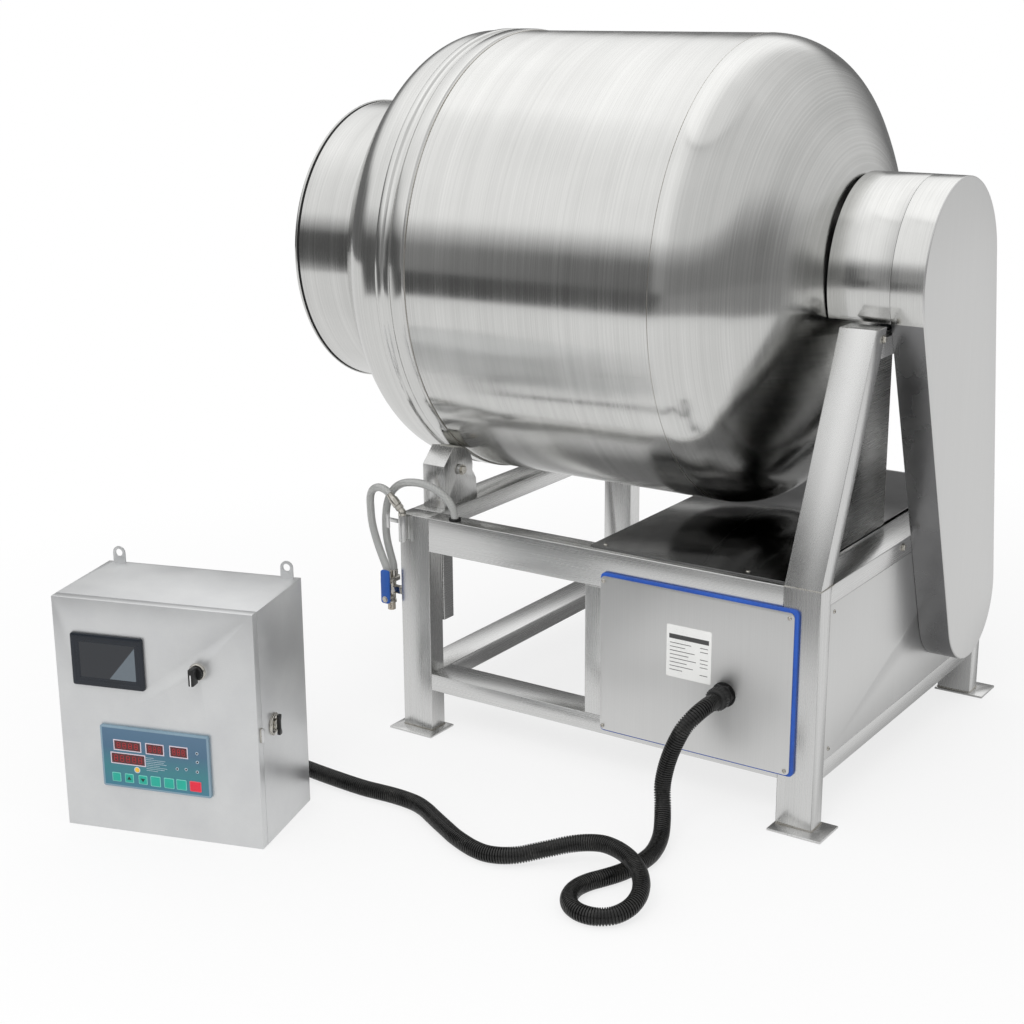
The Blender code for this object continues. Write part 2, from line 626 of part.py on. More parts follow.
def build_closure():
    at = -NECK_END - SEAM
    seal = [(at, SEAL_INNER_RADIUS), (at, NECK_RADIUS), (at - SEAL_THICKNESS, NECK_RADIUS),
            (at - SEAL_THICKNESS, SEAL_INNER_RADIUS)]
    place("lid_seal", turned(seal, DRUM_STEPS, ring=True), rubber, **turned_x(axis_y, axis_z, drive_x), smooth=True)

    # A pressed lid: flat rim on the seal, a dished middle and a spigot for the vacuum swivel
    rim = at - SEAL_THICKNESS - SEAM
    back = rim - LID_THICKNESS
    dish = LID_DISH_RADIUS
    tip = back - LID_RISE - LID_SPIGOT_LENGTH
    lid = [(tip, 0.0), (tip, LID_SPIGOT_RADIUS * 0.7), (tip + LID_SPIGOT_LENGTH / 3, LID_SPIGOT_RADIUS),
           (back - LID_RISE, LID_SPIGOT_RADIUS), (back - LID_RISE * 0.9, dish * 0.4),
           (back - LID_RISE * 0.6, dish * 0.73), (back, dish), (back, LID_RADIUS),
           (rim, LID_RADIUS), (rim, dish), (rim - LID_RISE * 0.6, dish * 0.73 - LID_THICKNESS / 2),
           (rim - LID_RISE * 0.9, dish * 0.4), (rim - LID_RISE, LID_SPIGOT_RADIUS), (rim - LID_RISE, 0.0)]
    place("mouth_lid", turned(lid, DRUM_STEPS), steel, **turned_x(axis_y, axis_z, drive_x), smooth=True)


def build_rollers():
    reach = TRACK_RADIUS + ROLLER_RADIUS + SEAM
    roller_z = axis_z - reach * math.cos(ROLLER_ANGLE)
    half_width = ROLLER_WIDTH / 2
    for side, way in (("front", -1), ("rear", 1)):
        roller_y = axis_y + way * reach * math.sin(ROLLER_ANGLE)
        centre = drive_x - ROLLER_CENTRE
        bore = bored(AXLE_RADIUS, 16)
        roller = [(-half_width, bore), (-half_width, ROLLER_RADIUS - 0.003), (0.003 - half_width, ROLLER_RADIUS),
                  (half_width - 0.003, ROLLER_RADIUS), (half_width, ROLLER_RADIUS - 0.003), (half_width, bore)]
        place(f"roller_{side}", turned(roller, 32, ring=True), polymer, **turned_x(roller_y, roller_z, centre),
              smooth=True)

        # Folded sheet: a front that leans over at the top, and a cheek on each side of the roller
        def out(y, z):
            return roller_y - way * y, roller_z + z

        foot = FRAME_HEIGHT + SEAM - roller_z
        face = ROLLER_RADIUS + 0.010
        slope = face - 0.0435
        peak = face - 0.0055
        ridge = -face + peak - slope
        sheet = BRACKET_SHEET
        bend = sheet * math.tan(math.radians(22.5))
        front = [(-face, foot), (-face, slope), (ridge, peak), (ridge + sheet * 0.7, peak - sheet * 0.7),
                 (sheet - face, slope - bend), (sheet - face, foot)]
        x0, x1 = centre - BRACKET_WIDTH / 2, centre + BRACKET_WIDTH / 2
        bracket = place(f"roller_bracket_{side}", prism([out(a, b) for a, b in front], "X", x0, x1), steel)
        cheek = [(-face, foot), (-face, slope), (ridge, peak)]
        cheek += arc((0, 0), ROLLER_RADIUS - 0.0025, math.radians(75), math.radians(-14), 5)
        cheek += [(face, -0.034), (face + 0.004, foot)]
        for low in (x0, x1 - sheet):
            shape_with(bracket, "UNION", prism([out(a, b) for a, b in cheek], "X", low, low + sheet))
        shape_with(bracket, "UNION",
                   turned(stepped((-BRACKET_WIDTH / 2 - 0.006, 0.011), (-BRACKET_WIDTH / 2, AXLE_RADIUS),
                                  (BRACKET_WIDTH / 2, 0.011), (BRACKET_WIDTH / 2 + 0.006, 0)), 16),
                   **turned_x(roller_y, roller_z, centre))


def build_drive():
    motor_y = front_y + MOTOR_Y
    boss_end = 0.006
    case_end = -SHEET - 0.010
    body = stepped((case_end - GEARCASE_LENGTH - MOTOR_LENGTH, MOTOR_RADIUS), (case_end - GEARCASE_LENGTH, GEARCASE_RADIUS),
                   (case_end, BOSS_RADIUS), (boss_end, 0))
    motor = place("gearmotor", turned(body, 24), motor_grey, **turned_x(motor_y, motor_z, drive_x), smooth=True)
    foot_x = (drive_x + case_end - GEARCASE_LENGTH + 0.010, drive_x + case_end - 0.010)
    shape_with(motor, "UNION", box(foot_x, (motor_y - 0.060, motor_y + 0.060), (pan_top, motor_z - GEARCASE_RADIUS / 2)))

    ratio = MOTOR_SPROCKET_TEETH / DRUM_SPROCKET_TEETH
    small = DRUM_SPROCKET_RADIUS * ratio
    shaft = stepped((boss_end + SEAM, MOTOR_SHAFT_RADIUS), (SPROCKET_OFFSET + SPROCKET_WIDTH + 0.008, 0))
    gear = place("motor_sprocket", turned(shaft, 16), dark_steel, **turned_x(motor_y, motor_z, drive_x), smooth=True)
    gear_x = (drive_x + SPROCKET_OFFSET, drive_x + SPROCKET_OFFSET + SPROCKET_WIDTH)
    shape_with(gear, "UNION", prism(toothed(motor_y, motor_z, small, MOTOR_SPROCKET_TEETH), "X", *gear_x))

    play = 2 * SEAM
    inside = belt((axis_y, axis_z), DRUM_SPROCKET_RADIUS + play, (motor_y, motor_z), small + play, 24)
    around = belt((axis_y, axis_z), DRUM_SPROCKET_RADIUS + CHAIN_THICKNESS,
                  (motor_y, motor_z), small + CHAIN_THICKNESS, 24)
    place("drive_chain", prism(around, "X", *gear_x, hole=inside), dark_steel)

    pump_x = drive_x - BAY_LENGTH + 0.020
    pump_z = pan_top + PUMP_RADIUS + 0.020
    pump = stepped((0, PUMP_RADIUS * 0.8), (PUMP_LENGTH * 0.55, PUMP_RADIUS), (PUMP_LENGTH, 0))
    pump = place("vacuum_pump", turned(pump, 20), motor_grey, **turned_x(front_y + PUMP_Y, pump_z, pump_x), smooth=True)
    shape_with(pump, "UNION", box((pump_x + 0.020, pump_x + PUMP_LENGTH - 0.010),
                                  (front_y + PUMP_Y - 0.045, front_y + PUMP_Y + 0.045), (pan_top, pump_z)))


def build_covers():
    top_z = (FRAME_HEIGHT + SEAM, FRAME_HEIGHT + SEAM + COVER_SHEET)
    cover_x = (drive_x - PAN_END, drive_x - LEG_WIDTH - 0.005)
    place("top_cover", prism(rounded(*cover_x, front_y + 0.017, rear_y - 0.019, 0.004, 2), "Z", *top_z), polished)

    low_top = LOW_RAIL_LIFT + LOW_RAIL_HEIGHT
    inside_y = (front_y + LEG_DEPTH + 2 * SEAM, rear_y - LEG_DEPTH - 2 * SEAM)
    end_x = (drive_x - SHEET - SEAM, drive_x - SEAM)
    end_z = (low_top + SEAM, FRAME_HEIGHT - END_RAIL_HEIGHT - SEAM)
    panel = place("drive_end_panel", prism(rectangle(*inside_y, *end_z), "X", *end_x), steel)
    hole = prism(disc(front_y + MOTOR_Y, motor_z, bored(BOSS_RADIUS, 24), 24), "X", end_x[0] - 0.01, end_x[1] + 0.01)
    shape_with(panel, "DIFFERENCE", hole)

    rear_x = (drive_x - BAY_LENGTH + SEAM, drive_x - LEG_WIDTH - SEAM)
    place("rear_panel", prism(rectangle(*rear_x, low_top + SEAM, FRAME_HEIGHT - TOP_RAIL_HEIGHT - SEAM), "Y",
                              rear_y - SHEET - SEAM, rear_y - SEAM), steel)

    # The pan lies on the low rails and folds up into the wall that closes the bay
    left = drive_x - PAN_END
    floor = low_top + SEAM
    under_cover = top_z[0] - SEAM
    section = [(left, floor), (end_x[0] - SEAM, floor), (end_x[0] - SEAM, floor + SHEET), (left + SHEET, floor + SHEET),
               (left + SHEET, under_cover), (left, under_cover)]
    place("floor_pan", prism(section, "Y", *inside_y), steel)

    x0, x1 = drive_x - PANEL_START - PANEL_WIDTH, drive_x - PANEL_START
    z0, z1 = PANEL_LIFT, PANEL_LIFT + PANEL_HEIGHT
    gasket_y = (front_y - SEAM - GASKET_THICKNESS, front_y - SEAM)
    rim = GASKET_WIDTH
    place("panel_gasket", prism(rounded(x0, x1, z0, z1, PANEL_CORNER), "Y", *gasket_y,
                                hole=rounded(x0 + rim, x1 - rim, z0 + rim, z1 - rim, PANEL_CORNER)), blue)
    panel_y = (gasket_y[0] - SEAM - SHEET, gasket_y[0] - SEAM)
    inset = 0.002
    panel = place("service_panel", prism(rounded(x0 + inset, x1 - inset, z0 + inset, z1 - inset, PANEL_CORNER), "Y",
                                         *panel_y), steel)
    thread = GLAND_RADIUS * 0.6
    gland_x, gland_z = drive_x + GLAND_AT[0], GLAND_AT[1]
    shape_with(panel, "DIFFERENCE", prism(disc(gland_x, gland_z, bored(thread, 16), 16), "Y",
                                          panel_y[0] - 0.01, panel_y[1] + 0.01))
    # Threaded behind the panel, a hexagon on it and a round nose towards the conduit
    gland = place("conduit_gland", turned(stepped((-0.012, thread), (0, GLAND_RADIUS + 0.003), (0.008, GLAND_RADIUS - 0.003),
                                                  (GLAND_LENGTH * 0.5, GLAND_RADIUS), (GLAND_LENGTH, 0)), 16), black,
                  location=(gland_x, panel_y[0] - SEAM, gland_z), rotation=(math.pi / 2, 0, 0), smooth=True)
    gland_mouth = Vector((gland_x, panel_y[0] - GLAND_LENGTH - 2 * SEAM, gland_z))

    guard_x = (drive_x + GUARD_DEPTH, drive_x + SEAM)
    outline = belt((axis_y, GUARD_TOP_Z), GUARD_TOP_RADIUS, (front_y + MOTOR_Y, motor_z), GUARD_LOW_RADIUS, 24)
    place("chain_guard", cup(outline, "X", *guard_x, SHEET), steel)
    side = math.asin((SHROUD_BOTTOM - GUARD_TOP_Z) / GUARD_TOP_RADIUS)
    inner_side = math.asin((SHROUD_BOTTOM - GUARD_TOP_Z) / (GUARD_TOP_RADIUS - SHEET))
    arch = arc((axis_y, GUARD_TOP_Z), GUARD_TOP_RADIUS, side, math.pi - side, 28)
    arch += arc((axis_y, GUARD_TOP_Z), GUARD_TOP_RADIUS - SHEET, math.pi - inner_side, inner_side, 28)
    place("shroud", prism(arch, "X", drive_x + shroud_start, drive_x - SEAM), steel, smooth=True)
    return gland_mouth


def build_vacuum_line():
    # Holder on the front of the mouth leg, with the bore that the elbow's stem drops into
    holder_x = mouth_x + 0.017
    holder_y = front_y - HOLDER_PROUD
    holder_z = (FRAME_HEIGHT - HOLDER_DROP - HOLDER_LENGTH, FRAME_HEIGHT - HOLDER_DROP)
    holder = place("hose_holder", box((mouth_x + SEAM, holder_x + 0.012), (front_y - SEAM - 0.003, front_y - SEAM),
                                      (holder_z[0] + 0.004, holder_z[1] - 0.004)), steel)
    shape_with(holder, "UNION", prism(disc(holder_x, holder_y, HOLDER_RADIUS, 16), "Z", *holder_z))
    shape_with(holder, "DIFFERENCE", prism(disc(holder_x, holder_y, HOLDER_BORE + SEAM, 16), "Z",
                                           holder_z[0] - 0.01, holder_z[1] + 0.01))

    # Swivel elbow: stem in the holder, body leaning over towards the hose
    lean = math.radians(45)
    knee = Vector((holder_x, holder_y, holder_z[1] + 0.010))
    elbow = place("hose_elbow", turned([(-0.030, 0.0), (-0.030, ELBOW_RADIUS), (-0.0095, ELBOW_RADIUS),
                                        (-0.0095, HOLDER_RADIUS), (0.006, HOLDER_RADIUS), (0.006, 0.0)], 16), chrome,
                  location=knee, smooth=True)
    body = stepped((-0.004, 0.0085), (0.026, 0.0105), (0.036, 0.0085), (0.050, 0))
    shape_with(elbow, "UNION", turned(body, 16), location=knee, rotation=(0, -lean, 0))
    elbow_mouth = knee + (0.050 + SEAM) * Vector((-math.sin(lean), 0, math.cos(lean)))

    # Ball valve clipped to the leg; both hoses come down into its block
    valve_x = mouth_x - VALVE_REACH
    valve_y = front_y + 0.011
    block = (FRAME_HEIGHT - VALVE_DROP - VALVE_BLOCK, FRAME_HEIGHT - VALVE_DROP)
    base = block[1] - VALVE_LENGTH
    valve = place("valve_body", turned(stepped((base, VALVE_RADIUS * 0.75), (base + 0.018, VALVE_RADIUS),
                                               (block[0] + 0.004, 0)), 16),
                  chrome, location=(valve_x, valve_y, 0), smooth=True)
    ports = {"vacuum_hose": (valve_x - 0.002, valve_y + 0.013), "lid_hose": (valve_x - 0.002, valve_y - 0.013)}
    shape_with(valve, "UNION", box((valve_x - 0.013, valve_x + 0.009), (valve_y - 0.024, valve_y + 0.024), block))
    for x, y in ports.values():
        shape_with(valve, "UNION", prism(disc(x, y, 0.0105, 12), "Z", block[1] - 0.002, block[1] + VALVE_PORT))
    stem_z = base + STEM_LIFT
    shape_with(valve, "UNION", box((valve_x, mouth_x - SEAM), (valve_y - 0.007, valve_y + 0.009),
                                   (stem_z + 0.010, stem_z + 0.026)))
    stem_end = valve_y - 0.026
    shape_with(valve, "UNION", prism(disc(valve_x + 0.006, stem_z, 0.0055, 12), "Y", stem_end, valve_y))
    lever = box((-LEVER_WIDTH / 2, LEVER_WIDTH / 2), (-LEVER_THICKNESS, 0), (-LEVER_TAIL, LEVER_LENGTH - LEVER_TAIL))
    place("valve_lever", lever, blue, location=(valve_x + 0.006, stem_end - SEAM, stem_z))

    port_top = block[1] + VALVE_PORT + SEAM
    a = Vector((*ports["vacuum_hose"], port_top))
    b = Vector((*ports["lid_hose"], port_top))
    up = Vector((0, 0, HOSE_DIAMETER / 2))
    frame = Vector((drive_x, front_y, FRAME_HEIGHT))
    rail_hole = frame + Vector((-0.901, 0.022, SEAM))
    vacuum = [frame + Vector(p) for p in (
        (-0.9035, 0.0215, 0.021), (-0.9135, 0.0195, 0.040), (-0.931, 0.016, 0.057), (-0.955, 0.012, 0.069),
        (-0.982, 0.009, 0.075), (-1.010, 0.008, 0.074), (-1.040, 0.010, 0.066), (-1.068, 0.014, 0.046),
        (-1.088, 0.019, 0.015), (-1.098, 0.023, -0.028), (-1.098, 0.025, -0.076), (-1.088, 0.025, -0.115))]
    vacuum = [rail_hole, rail_hole + up] + vacuum + [a + up, a]
    tube_along("vacuum_hose", smooth_points(vacuum, 0.016), HOSE_DIAMETER, clear_hose)
    away = Vector((-math.sin(lean), 0, math.cos(lean)))
    lid = [frame + Vector(p) for p in (
        (-1.0755, -0.012, 0.0545), (-1.0935, -0.0105, 0.0545), (-1.1095, -0.008, 0.045), (-1.119, -0.005, 0.028),
        (-1.1225, -0.001, 0.000), (-1.1215, 0.002, -0.038), (-1.110, 0.003, -0.080), (-1.092, 0.000, -0.116))]
    lid = [elbow_mouth, elbow_mouth + HOSE_DIAMETER / 3 * away] + lid + [b + up, b]
    tube_along("lid_hose", smooth_points(lid, 0.014), HOSE_DIAMETER, clear_hose)


def build_control_box():
    corner = bpy.data.objects.new("control_box_corner", None)
    corner.location = (drive_x + BOX_CORNER[0], front_y + BOX_CORNER[1], 0)
    corner.rotation_euler = (0, 0, BOX_TURN)
    bpy.context.collection.objects.link(corner)
    # Inside the box's own frame: x from its left side, y back from the door's face, z up
    here = {"parent": corner}
    outline = rectangle(0, BOX_WIDTH, 0, BOX_HEIGHT)
    shell = place("box_shell", cup(outline, "Y", BOX_DEPTH, DOOR_DEPTH + SEAM, BOX_SHEET), box_steel, **here)
    for left in (LUG_INSET, BOX_WIDTH - LUG_INSET):
        half = LUG_WIDTH / 2
        tab = [(left - half, BOX_HEIGHT - BOX_SHEET / 2), (left + half, BOX_HEIGHT - BOX_SHEET / 2)]
        tab += arc((left, BOX_HEIGHT + LUG_RISE - half), half, 0, math.pi, 8)
        shape_with(shell, "UNION", prism(tab, "Y", BOX_DEPTH - 0.008, BOX_DEPTH - 0.005), **here)
        shape_with(shell, "DIFFERENCE", prism(disc(left, BOX_HEIGHT + LUG_RISE - half, LUG_HOLE, 16), "Y",
                                              BOX_DEPTH - 0.020, BOX_DEPTH + 0.010), **here)
    boss = prism(disc(*BOSS_AT, GLAND_RADIUS, 16), "Y", BOX_DEPTH - BOX_SHEET / 2, BOX_DEPTH + BOSS_LENGTH)
    shape_with(shell, "UNION", boss, **here)

    door = place("box_door", cup(outline, "Y", 0, DOOR_DEPTH, BOX_SHEET), box_steel, **here)
    strike = box((BOX_WIDTH - BOX_SHEET / 2, BOX_WIDTH + 0.008), (0.010, 0.018),
                 (LATCH_AT[1] - 0.014, LATCH_AT[1] + 0.014))
    shape_with(door, "UNION", strike, **here)
    for name, (left, bottom, width, height), body in (("touch_display", DISPLAY, DISPLAY_BODY),
                                                      ("controller", CONTROLLER, CONTROLLER_BODY)):
        module = place(name, prism(rounded(left, left + width, bottom, bottom + height, 0.005), "Y", -BEZEL, -SEAM),
                       black if name == "touch_display" else panel_blue, **here)
        inner = (left + MODULE_INSET, left + width - MODULE_INSET, bottom + MODULE_INSET, bottom + height - MODULE_INSET)
        shape_with(module, "UNION", prism(rectangle(*inner), "Y", -BEZEL / 2, body), **here)
        hole = (inner[0] - 0.001, inner[1] + 0.001, inner[2] - 0.001, inner[3] + 0.001)
        shape_with(door, "DIFFERENCE", prism(rectangle(*hole), "Y", -0.01, DOOR_DEPTH / 2), **here)
        if name == "controller":
            floor = KEY_PROUD - BEZEL - 0.001 + KEY_THICKNESS + KEY_TRAVEL - KEY_PROUD
            for middle in KEY_CENTRES:
                half = KEY_WIDTH / 2 + SEAM
                rise = KEY_HEIGHT / 2 + SEAM
                pocket = rectangle(middle - half, middle + half, KEY_ROW - rise, KEY_ROW + rise)
                shape_with(module, "DIFFERENCE", prism(pocket, "Y", -2 * BEZEL, floor + SEAM), **here)
    for number, middle in enumerate(KEY_CENTRES, 1):
        key = rectangle(-KEY_WIDTH / 2, KEY_WIDTH / 2, -KEY_HEIGHT / 2, KEY_HEIGHT / 2)
        colour = key_red if number == len(KEY_CENTRES) else key_green
        place(f"key_{number}", prism(key, "Y", 0, KEY_THICKNESS), colour,
              location=(middle, -BEZEL - KEY_PROUD, KEY_ROW), **here)

    across, up = KNOB_AT
    shape_with(door, "DIFFERENCE", prism(disc(across, up, bored(KNOB_SHAFT, 12), 12), "Y", -0.01, DOOR_DEPTH / 2), **here)
    knob = place("selector_knob", turned(stepped((-0.012, KNOB_SHAFT), (SEAM, KNOB_RADIUS), (0.009, 0)), 24), black,
                 location=(across, 0, up), rotation=(math.pi / 2, 0, 0), smooth=True, **here)
    grip = box((-0.0045, 0.0045), (-0.024, -0.008), (-0.017, 0.012))
    shape_with(knob, "UNION", grip, location=(across, 0, up), **here)

    back, up = LATCH_AT
    latch = turned(stepped((SEAM, 0.019), (0.004, 0.012), (0.009, 0)), 20)
    latch = place("box_latch", latch, chrome, location=(BOX_WIDTH, back, up), rotation=(0, math.pi / 2, 0), smooth=True,
                  **here)
    shape_with(latch, "UNION", box((0.006, 0.014), (-0.005, 0.005), (-0.020, 0.020)),
               location=(BOX_WIDTH, back, up), **here)
    mouth = Vector((BOSS_AT[0], BOX_DEPTH + BOSS_LENGTH + SEAM, BOSS_AT[1]))
    mouth.rotate(corner.rotation_euler)
    return mouth + corner.location, Vector((-math.sin(BOX_TURN), math.cos(BOX_TURN), 0))


def build_conduit(gland_mouth, boss_mouth, boss_out):
    # It leaves the boss behind the box, snakes over the floor, loops once and climbs to the gland;
    # the strand from the box rides over the returning one where they cross
    low = CONDUIT_DIAMETER / 2 + 0.0001
    frame = Vector((drive_x, front_y, 0))
    straight = CONDUIT_DIAMETER
    start = [boss_mouth, boss_mouth + straight * boss_out]
    floor = ((-1.2130, -0.392, 0.064), (-1.196, -0.356, 0.034), (-1.150, -0.339, low), (-1.074, -0.341, low),
             (-0.981, -0.349, low), (-0.878, -0.354, low), (-0.801, -0.349, low), (-0.732, -0.356, low),
             (-0.645, -0.400, low), (-0.562, -0.442, low), (-0.492, -0.460, low), (-0.434, -0.446, 0.022),
             (-0.384, -0.406, 0.032), (-0.339, -0.374, 0.043), (-0.286, -0.357, 0.052), (-0.228, -0.370, 0.0545),
             (-0.174, -0.404, 0.050), (-0.139, -0.449, 0.040), (-0.129, -0.500, 0.028), (-0.151, -0.543, 0.019),
             (-0.196, -0.560, low), (-0.240, -0.541, low), (-0.262, -0.495, low), (-0.254, -0.446, low),
             (-0.230, -0.400, low), (-0.214, -0.344, low), (-0.212, -0.280, 0.018), (-0.225, -0.222, 0.030),
             (-0.244, -0.182, 0.062), (-0.256, -0.163, 0.108), (-0.250, -0.156, 0.155), (-0.236, -0.150, 0.200),
             (-0.221, -0.137, 0.236), (-0.207, -0.113, 0.258))
    route = start + [frame + Vector(p) for p in floor]
    route += [gland_mouth - Vector((0, straight, 0)), gland_mouth]
    lying = [Vector((p.x, p.y, max(p.z, low))) for p in smooth_points(route, 0.034)]
    tube_along("power_conduit", lying, CONDUIT_DIAMETER, black)


for old in list(bpy.data.objects):
    bpy.data.objects.remove(old, do_unlink=True)

steel = make_material("brushed steel", (0.62, 0.62, 0.61), 1.0, 0.32)
box_steel = make_material("bead blasted steel", (0.66, 0.65, 0.62), 0.9, 0.45)
polished = make_material("polished steel", (0.30, 0.30, 0.30), 1.0, 0.12)
dark_steel = make_material("oiled steel", (0.22, 0.22, 0.23), 1.0, 0.45)
cast = make_material("cast iron", (0.18, 0.19, 0.20), 0.6, 0.6)
motor_grey = make_material("motor paint", (0.20, 0.23, 0.27), 0.2, 0.5)
chrome = make_material("plated brass", (0.72, 0.71, 0.69), 1.0, 0.18)
rubber = make_material("seal rubber", (0.02, 0.02, 0.02), 0.0, 0.7)
polymer = make_material("cast polyamide", (0.45, 0.45, 0.44), 0.0, 0.5)
blue = make_material("blue silicone", (0.02, 0.12, 0.45), 0.0, 0.45)
panel_blue = make_material("membrane film", (0.10, 0.22, 0.32), 0.0, 0.4)
key_green = make_material("green key", (0.02, 0.35, 0.28), 0.0, 0.4)
key_red = make_material("red key", (0.75, 0.05, 0.08), 0.0, 0.4)
black = make_material("black plastic", (0.02, 0.02, 0.022), 0.0, 0.45)
clear_hose = make_material("braided hose", (0.60, 0.62, 0.62), 0.0, 0.3)

build_frame()
build_bearing_support()
build_drum()
build_closure()
build_rollers()
build_drive()
gland_mouth = build_covers()
build_vacuum_line()
boss_mouth, boss_out = build_control_box()
build_conduit(gland_mouth, boss_mouth, boss_out)
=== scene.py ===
# Meat vacuum tumbler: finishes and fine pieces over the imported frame.
# Metres; +X runs to the drive end, +Y to the rear, +Z up.
import math

import bmesh
import bpy
from mathutils import Matrix, Vector


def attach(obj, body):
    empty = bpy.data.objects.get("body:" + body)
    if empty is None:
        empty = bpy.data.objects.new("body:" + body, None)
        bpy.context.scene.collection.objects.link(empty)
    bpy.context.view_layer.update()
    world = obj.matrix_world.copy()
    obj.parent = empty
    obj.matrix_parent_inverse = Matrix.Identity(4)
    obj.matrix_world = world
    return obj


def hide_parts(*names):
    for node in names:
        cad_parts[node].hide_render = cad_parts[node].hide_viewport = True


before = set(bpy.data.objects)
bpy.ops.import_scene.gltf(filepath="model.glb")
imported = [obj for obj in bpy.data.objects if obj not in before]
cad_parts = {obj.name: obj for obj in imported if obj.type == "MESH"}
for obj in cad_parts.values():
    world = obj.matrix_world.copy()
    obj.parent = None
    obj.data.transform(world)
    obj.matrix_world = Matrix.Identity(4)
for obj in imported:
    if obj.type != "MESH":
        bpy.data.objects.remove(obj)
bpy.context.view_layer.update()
print("frame loaded:", len(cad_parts), "nodes")

view = {
    "place": (1.39905, -3.11296, 1.66628),
    "yaw": 34.18,          # degrees to the left of +Y
    "pitch": -16.3,        # degrees
    "roll": -0.42,         # degrees
    "lens": 63.213,        # millimetres on a 36 mm sensor
}


def placeCamera():
    yaw, pitch, roll = (math.radians(view[k]) for k in ("yaw", "pitch", "roll"))
    ahead = Vector((-math.sin(yaw) * math.cos(pitch), math.cos(yaw) * math.cos(pitch), math.sin(pitch)))
    right = Vector((math.cos(yaw), math.sin(yaw), 0))
    up = right.cross(ahead)
    across = right * math.cos(roll) + up * math.sin(roll)
    above = up * math.cos(roll) - right * math.sin(roll)
    lens = bpy.data.cameras.new("photoLens")
    lens.lens = view["lens"]
    lens.sensor_width = 36
    camera = bpy.data.objects.new("photoCamera", lens)
    camera.matrix_world = (Matrix.Translation(view["place"])
                           @ Matrix((across, above, -ahead)).transposed().to_4x4())
    bpy.context.scene.collection.objects.link(camera)
    bpy.context.scene.camera = camera


placeCamera()
print("camera placed")


# Material tools
def linear(hexText):
    values = [int(hexText[k:k + 2], 16) / 255 for k in (1, 3, 5)]
    return [v / 12.92 if v <= 0.04045 else ((v + 0.055) / 1.055) ** 2.4 for v in values] + [1.0]


def addNode(tree, kind, settings=None, links=None):
    node = tree.nodes.new("ShaderNode" + kind)
    for name, value in (settings or {}).items():
        if isinstance(name, int) or name in node.inputs:
            node.inputs[name].default_value = value
        else:
            setattr(node, name, value)
    for name, source in (links or {}).items():
        tree.links.new(source, node.inputs[name])
    return node


def newMaterial(name, colour, metallic=0.0, roughness=0.5, **more):
    material = bpy.data.materials.new(name)
    material.use_nodes = True
    shader = material.node_tree.nodes["Principled BSDF"]
    shader.inputs["Base Color"].default_value = linear(colour)
    shader.inputs["Metallic"].default_value = metallic
    shader.inputs["Roughness"].default_value = roughness
    for key, value in more.items():
        shader.inputs[key.replace("_", " ")].default_value = value
    return material, material.node_tree, shader


def grain(tree, cycles, detail=3.0):
    # Random waves, so many to the metre along X, Y and Z
    where = addNode(tree, "TexCoord").outputs["Object"]
    spread = addNode(tree, "Mapping", {"Scale": cycles}, {"Vector": where})
    return addNode(tree, "TexNoise", {"Scale": 1.0, "Detail": detail, "Roughness": 0.55},
                   {"Vector": spread.outputs[0]}).outputs[0]


def blended(tree, *patterns):
    # Their weighed sum
    total = None
    for pattern, weight in patterns:
        part = addNode(tree, "Math", {"operation": "MULTIPLY", 1: weight}, {0: pattern}).outputs[0]
        total = part if total is None else addNode(tree, "Math", {"operation": "ADD"},
                                                   {0: total, 1: part}).outputs[0]
    return total


def wear(tree, shader, pattern, colours, rough, span=(0.36, 0.64), bump=None):
    # One pattern drives colour and roughness; bump is a pattern, its height in metres and its strength
    ramp = addNode(tree, "ValToRGB", None, {"Fac": pattern})
    while len(ramp.color_ramp.elements) < len(colours):
        ramp.color_ramp.elements.new(1.0)
    for k, (element, colour) in enumerate(zip(ramp.color_ramp.elements, colours)):
        element.position = span[0] + (span[1] - span[0]) * k / (len(colours) - 1)
        element.color = linear(colour)
    tree.links.new(ramp.outputs[0], shader.inputs["Base Color"])
    dull = addNode(tree, "MapRange", {"From Min": span[0], "From Max": span[1],
                                      "To Min": rough[0], "To Max": rough[1]}, {"Value": pattern})
    tree.links.new(dull.outputs[0], shader.inputs["Roughness"])
    if bump:
        raised = addNode(tree, "Bump", {"Distance": bump[1], "Strength": bump[2]}, {"Height": bump[0]})
        tree.links.new(raised.outputs[0], shader.inputs["Normal"])


def brushedSteel(name, along, colours=("#d4d4d3", "#e2e2e1"), rough=(0.23, 0.31)):
    # 304 stainless, belt brushed with 180 grit: hair lines along one axis, slow cloudy wear and handling marks.
    # Real lines are 0.1 mm apart; drawn at about 1.5 mm so that they show
    material, tree, shader = newMaterial(name, colours[1], 1.0, 0.24)
    lines = grain(tree, [4 if axis == along else 650 for axis in "XYZ"])
    broad = grain(tree, [1.5 if axis == along else 45 for axis in "XYZ"], 2.0)
    clouds = grain(tree, (3.5, 3.5, 3.5), 4.0)
    mixed = blended(tree, (lines, 0.45), (broad, 0.2), (clouds, 0.35))
    wear(tree, shader, mixed, colours, rough, (0.36, 0.64), (lines, 0.00002, 0.15))
    return material


